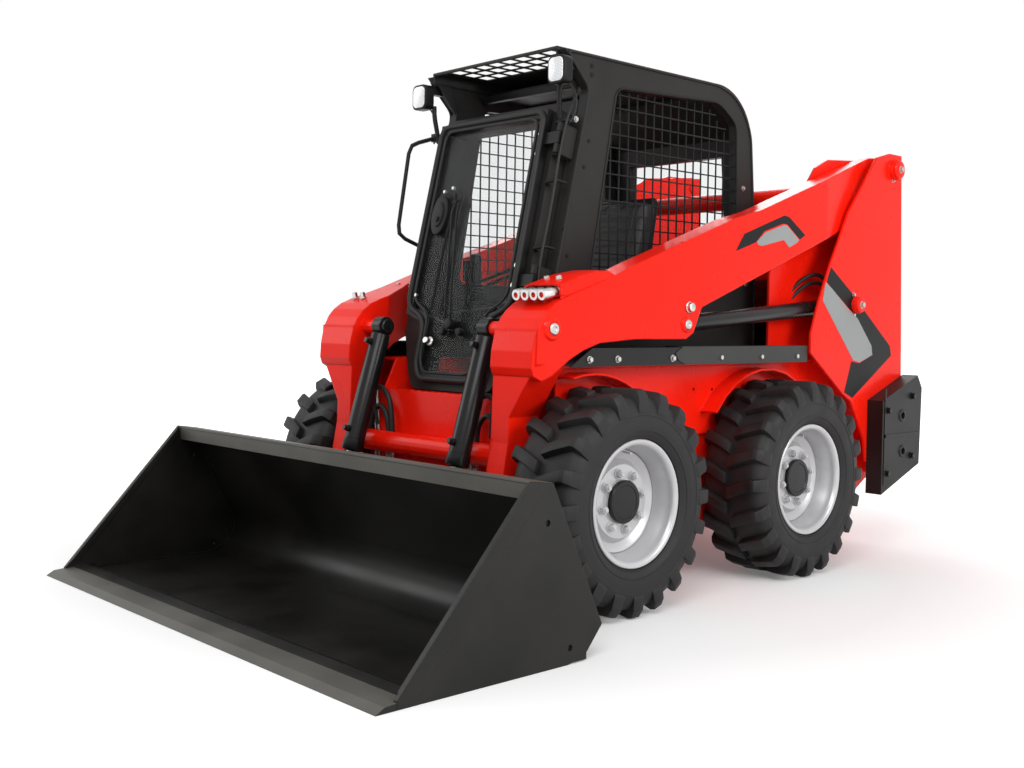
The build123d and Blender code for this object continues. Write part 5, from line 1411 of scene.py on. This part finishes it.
# ------------------------------------------------------------------ bucket
class LOADER_OT_bucket(bpy.types.Operator):
    """Weld the bucket's seams and fit the painted highlights on its edge and lip, its side bars, plugs and
    levers
    """

    bl_idname = "loader.bucket"
    bl_label = "Weld the bucket"

    def execute(self, context):
        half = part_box("bucket")[1][0]
        mesh = bmesh.new()
        # weld beads inside both side plates and along the cutting edge
        for sign in (1, -1):
            inner = sign * (half - 0.0145)
            path = [(inner, -1.560, 0.028), (inner, -1.540, 0.0115), (inner, -1.040, 0.0115),
                    (inner, -0.985, 0.024),
                    (inner, -0.945, 0.060), (inner, -0.926, 0.110), (inner, -0.934, 0.180),
                    (inner, -1.095, 0.520)]
            swept(mesh, path, 0.0045, sides=6)
        swept(mesh, [(-half + 0.015, -1.5785, 0.0265), (half - 0.015, -1.5785, 0.0265)], 0.003, sides=6)
        make_piece("bucket_welds", mesh, "bucket_group", "weld_black", smooth=60)
        self.edge(half)
        self.plates(half)
        return {"FINISHED"}

    # painted highlights on the cutting edge and the lip
    def edge(self, half):
        mesh = bmesh.new()
        # painted highlight: a lighter grey strip laid thin over the cutting edge's bevelled steel, where it
        # catches the light
        strip = [(-1.7395, 0.0006), (-1.7105, 0.0168), (-1.6350, 0.0226), (-1.6350, 0.0216), (-1.710, 0.0158),
                 (-1.739, 0.0004)]
        add_prism(mesh, [(-half + 0.001, y, z) for y, z in strip], (2 * half - 0.002, 0, 0))
        make_piece("edge_painted_highlight", mesh, "bucket_group", "steel_and_painted_highlight")
        mesh = bmesh.new()
        # painted highlight: a lighter grey strip along the folded lip at the top of the back wall, where light
        # from above catches it
        strip = [(-1.1700, 0.5060), (-1.1812, 0.5600), (-1.1806, 0.5650), (-1.1000, 0.5545),
                 (-1.1000, 0.5536),
                 (-1.1760, 0.5600), (-1.1660, 0.5068)]
        add_prism(mesh, [(-half + 0.002, y, z) for y, z in strip], (2 * half - 0.004, 0, 0))
        make_piece("lip_painted_highlight", mesh, "bucket_group", "steel_and_painted_highlight")

    def plates(self, half):
        """Bars and plugs on the side plates, and levers and pins on the coupler."""
        for side, sign in SIDES:
            mesh = bmesh.new()
            # flat bar welded along the front edge of the side plate, outside and in
            outline = [(-1.6692, 0.0048), (-1.6692, 0.0232), (-1.1806, 0.5630), (-1.1140, 0.5545),
                       (-1.6140, 0.0048)]
            add_plate(mesh, outline, 0.0012, sign * half, sign)
            add_plate(mesh, [(-1.6400, 0.0500), (-1.6560, 0.0380), (-1.1900, 0.5520), (-1.1640, 0.5480),
                             (-1.6200, 0.0450)],
                      0.0060, sign * (half - 0.014), -sign)
            make_piece(f"side_bar_{side}", mesh, "bucket_group", "bucket_black")
            mesh = bmesh.new()
            # blind plugs in the side cutter's bolt holes
            for y, z in ((-1.117, 0.436), (-1.015, 0.050)):
                add_turned(mesh, [(0.0, 0.0100), (0.0060, 0.0100), (0.0070, 0.0090), (0.0070, 0.0)],
                           (sign * (half - 0.0125), y, z), (sign, 0, 0), steps=24)
            make_piece(f"side_plugs_{side}", mesh, "bucket_group", "stripe_black", smooth=40)
            mesh = bmesh.new()
            spot = Vector((sign * 0.215, -0.966, 0.334))
            add_rod(mesh, spot, spot + Vector((0, -0.048, 0.098)), 0.012, sides=20, bevel=0.002)
            add_rod(mesh, spot + Vector((0, -0.048, 0.098)), spot + Vector((sign * -0.070, -0.042, 0.104)),
                    0.008, sides=16, bevel=0.002)
            add_rod(mesh, spot + Vector((sign * -0.065, -0.042, 0.104)),
                    spot + Vector((sign * -0.125, -0.038, 0.108)), 0.013,
                    sides=18, bevel=0.004)
            make_piece(f"locking_lever_{side}", mesh, "bucket_group", "black_satin", smooth=40)
            mesh = bmesh.new()
            for across, y, z, radius in ((0.5465, -0.778, 0.150, 0.021), (0.3705, -0.862, 0.359, 0.019)):
                add_turned(mesh, [(0.0, radius), (0.004, radius), (0.006, radius - 0.003), (0.006, 0.0)],
                           (sign * across, y, z), (sign, 0, 0), steps=32)
            make_piece(f"coupler_pins_{side}", mesh, "bucket_group", "zinc_steel", smooth=35)


# ------------------------------------------------------------------ stage
LIGHTS = (("key", (3.8, -4.3, 5.5), 4.0, 215), ("side", (6.5, 0.6, 3.4), 3.5, 200),
          ("rear", (-4.0, 5.0, 4.5), 4.0, 130), ("left", (-5.5, -4.0, 3.5), 3.5, 70))
WORLD_LIGHT = 0.50
CAMERA_PLACE = (3.4936, -3.5692, 1.028)
CAMERA_TURN, CAMERA_TILT, CAMERA_ROLL = math.radians(47.9), math.radians(1.79), math.radians(0.81)


class LOADER_OT_stage(bpy.types.Operator):
    """Build the pale floor, the soft lights and the camera"""

    bl_idname = "loader.stage"
    bl_label = "Set the studio"

    def execute(self, context):
        scene = context.scene
        scene.view_settings.view_transform = "Standard"
        mesh = bmesh.new()
        bmesh.ops.create_grid(mesh, x_segments=1, y_segments=1, size=40.0)
        data = bpy.data.meshes.new("studio_floor")
        mesh.to_mesh(data)
        mesh.free()
        floor = bpy.data.objects.new("studio_floor", data)
        floor.location = (0, 0, -0.001)
        scene.collection.objects.link(floor)
        data.materials.append(self.floor_finish())

        world = bpy.data.worlds.new("studio_world")
        scene.world = world
        world.use_nodes = True
        nodes, links = world.node_tree.nodes, world.node_tree.links
        nodes.clear()
        output = nodes.new("ShaderNodeOutputWorld")
        paths = nodes.new("ShaderNodeLightPath")
        either = self.seen_rays(nodes, links, paths)
        seen = nodes.new("ShaderNodeBackground")
        seen.inputs["Color"].default_value = (1, 1, 1, 1)
        seen.inputs["Strength"].default_value = 1.0
        lit = nodes.new("ShaderNodeBackground")
        lit.inputs["Color"].default_value = (1, 1, 1, 1)
        lit.inputs["Strength"].default_value = WORLD_LIGHT
        mixed = nodes.new("ShaderNodeMixShader")
        links.new(either, mixed.inputs["Fac"])
        links.new(lit.outputs[0], mixed.inputs[1])
        links.new(seen.outputs[0], mixed.inputs[2])
        links.new(mixed.outputs[0], output.inputs["Surface"])

        for light in LIGHTS:
            self.add_light(scene, *light)

        camera = bpy.data.cameras.new("studio_camera")
        camera.sensor_width = 36.0
        camera.lens = 41.49
        camera.shift_x = 0.0286
        camera.shift_y = -0.0263
        camera.clip_end = 200
        holder = bpy.data.objects.new("studio_camera", camera)
        scene.collection.objects.link(holder)
        turn, tilt, roll = CAMERA_TURN, CAMERA_TILT, CAMERA_ROLL
        back = Vector((math.sin(turn) * math.cos(tilt), -math.cos(turn) * math.cos(tilt), math.sin(tilt)))
        right = (-back).cross(Vector((0, 0, 1))).normalized()
        up = right.cross(-back)
        rolled_right = right * math.cos(roll) + up * math.sin(roll)
        rolled_up = -right * math.sin(roll) + up * math.cos(roll)
        turned = Matrix((rolled_right, rolled_up, back)).transposed().to_4x4()
        holder.matrix_world = Matrix.Translation(CAMERA_PLACE) @ turned
        scene.camera = holder
        return {"FINISHED"}

    def seen_rays(self, nodes, links, paths):
        """One for rays that come straight, mirrored or through glass from the camera."""
        total = paths.outputs["Is Camera Ray"]
        for kind in ("Is Transmission Ray", "Is Glossy Ray"):
            either = nodes.new("ShaderNodeMath")
            either.operation = "MAXIMUM"
            links.new(total, either.inputs[0])
            links.new(paths.outputs[kind], either.inputs[1])
            total = either.outputs[0]
        return total

    def floor_finish(self):
        """Pale floor that keeps the shadow near the loader and runs to white further out."""
        finish, nodes, links, shader = new_finish("floor_white")
        shader.inputs["Base Color"].default_value = (0.80, 0.80, 0.80, 1)
        shader.inputs["Roughness"].default_value = 0.9
        shader.inputs["Specular IOR Level"].default_value = 0.1
        place = nodes.new("ShaderNodeNewGeometry")
        away = nodes.new("ShaderNodeVectorMath")
        away.operation = "LENGTH"
        links.new(place.outputs["Position"], away.inputs[0])
        glow = spread(nodes, links, away.outputs["Value"], 0.13, 1.0, start=1.4, end=5.5)
        paths = nodes.new("ShaderNodeLightPath")
        both = nodes.new("ShaderNodeMath")
        both.operation = "MULTIPLY"
        links.new(self.seen_rays(nodes, links, paths), both.inputs[0])
        links.new(glow, both.inputs[1])
        shader.inputs["Emission Color"].default_value = (1, 1, 1, 1)
        links.new(both.outputs[0], shader.inputs["Emission Strength"])
        return finish

    def add_light(self, scene, name, place, size, power):
        light = bpy.data.lights.new(name, "AREA")
        light.shape = "DISK"
        light.size = size
        light.energy = power
        holder = bpy.data.objects.new(name, light)
        holder.location = place
        aim = Vector((0, 0, 0.7)) - Vector(place)
        holder.rotation_euler = aim.to_track_quat("-Z", "Y").to_euler()
        scene.collection.objects.link(holder)


class LOADER_PT_panel(bpy.types.Panel):
    """Lists the loader's sizes, colours and steps"""

    bl_label = "Loader"
    bl_idname = "LOADER_PT_panel"
    bl_space_type = "VIEW_3D"
    bl_region_type = "UI"
    bl_category = "Loader"

    def draw(self, context):
        layout = self.layout
        for group in (context.scene.loader_colours, context.scene.loader_sizes):
            for name in group.__annotations__:
                layout.prop(group, name)
        for step in STEPS:
            layout.operator(step.bl_idname)


STEPS = (LOADER_OT_paint, LOADER_OT_tyres, LOADER_OT_rims, LOADER_OT_stripes, LOADER_OT_arm_fittings,
         LOADER_OT_cylinders, LOADER_OT_door, LOADER_OT_cab, LOADER_OT_interior, LOADER_OT_body,
         LOADER_OT_bucket,
         LOADER_OT_stage)
CLASSES = (LoaderColours, LoaderSizes, *STEPS, LOADER_PT_panel)


def register():
    for kind in CLASSES:
        bpy.utils.register_class(kind)
    bpy.types.Scene.loader_colours = bpy.props.PointerProperty(type=LoaderColours)
    bpy.types.Scene.loader_sizes = bpy.props.PointerProperty(type=LoaderSizes)


def unregister():
    del bpy.types.Scene.loader_colours
    del bpy.types.Scene.loader_sizes
    for kind in reversed(CLASSES):
        bpy.utils.unregister_class(kind)


def main():
    register()
    for step in STEPS:
        group, action = step.bl_idname.split(".")
        getattr(getattr(bpy.ops, group), action)()


if __name__ == "__main__":
    main()
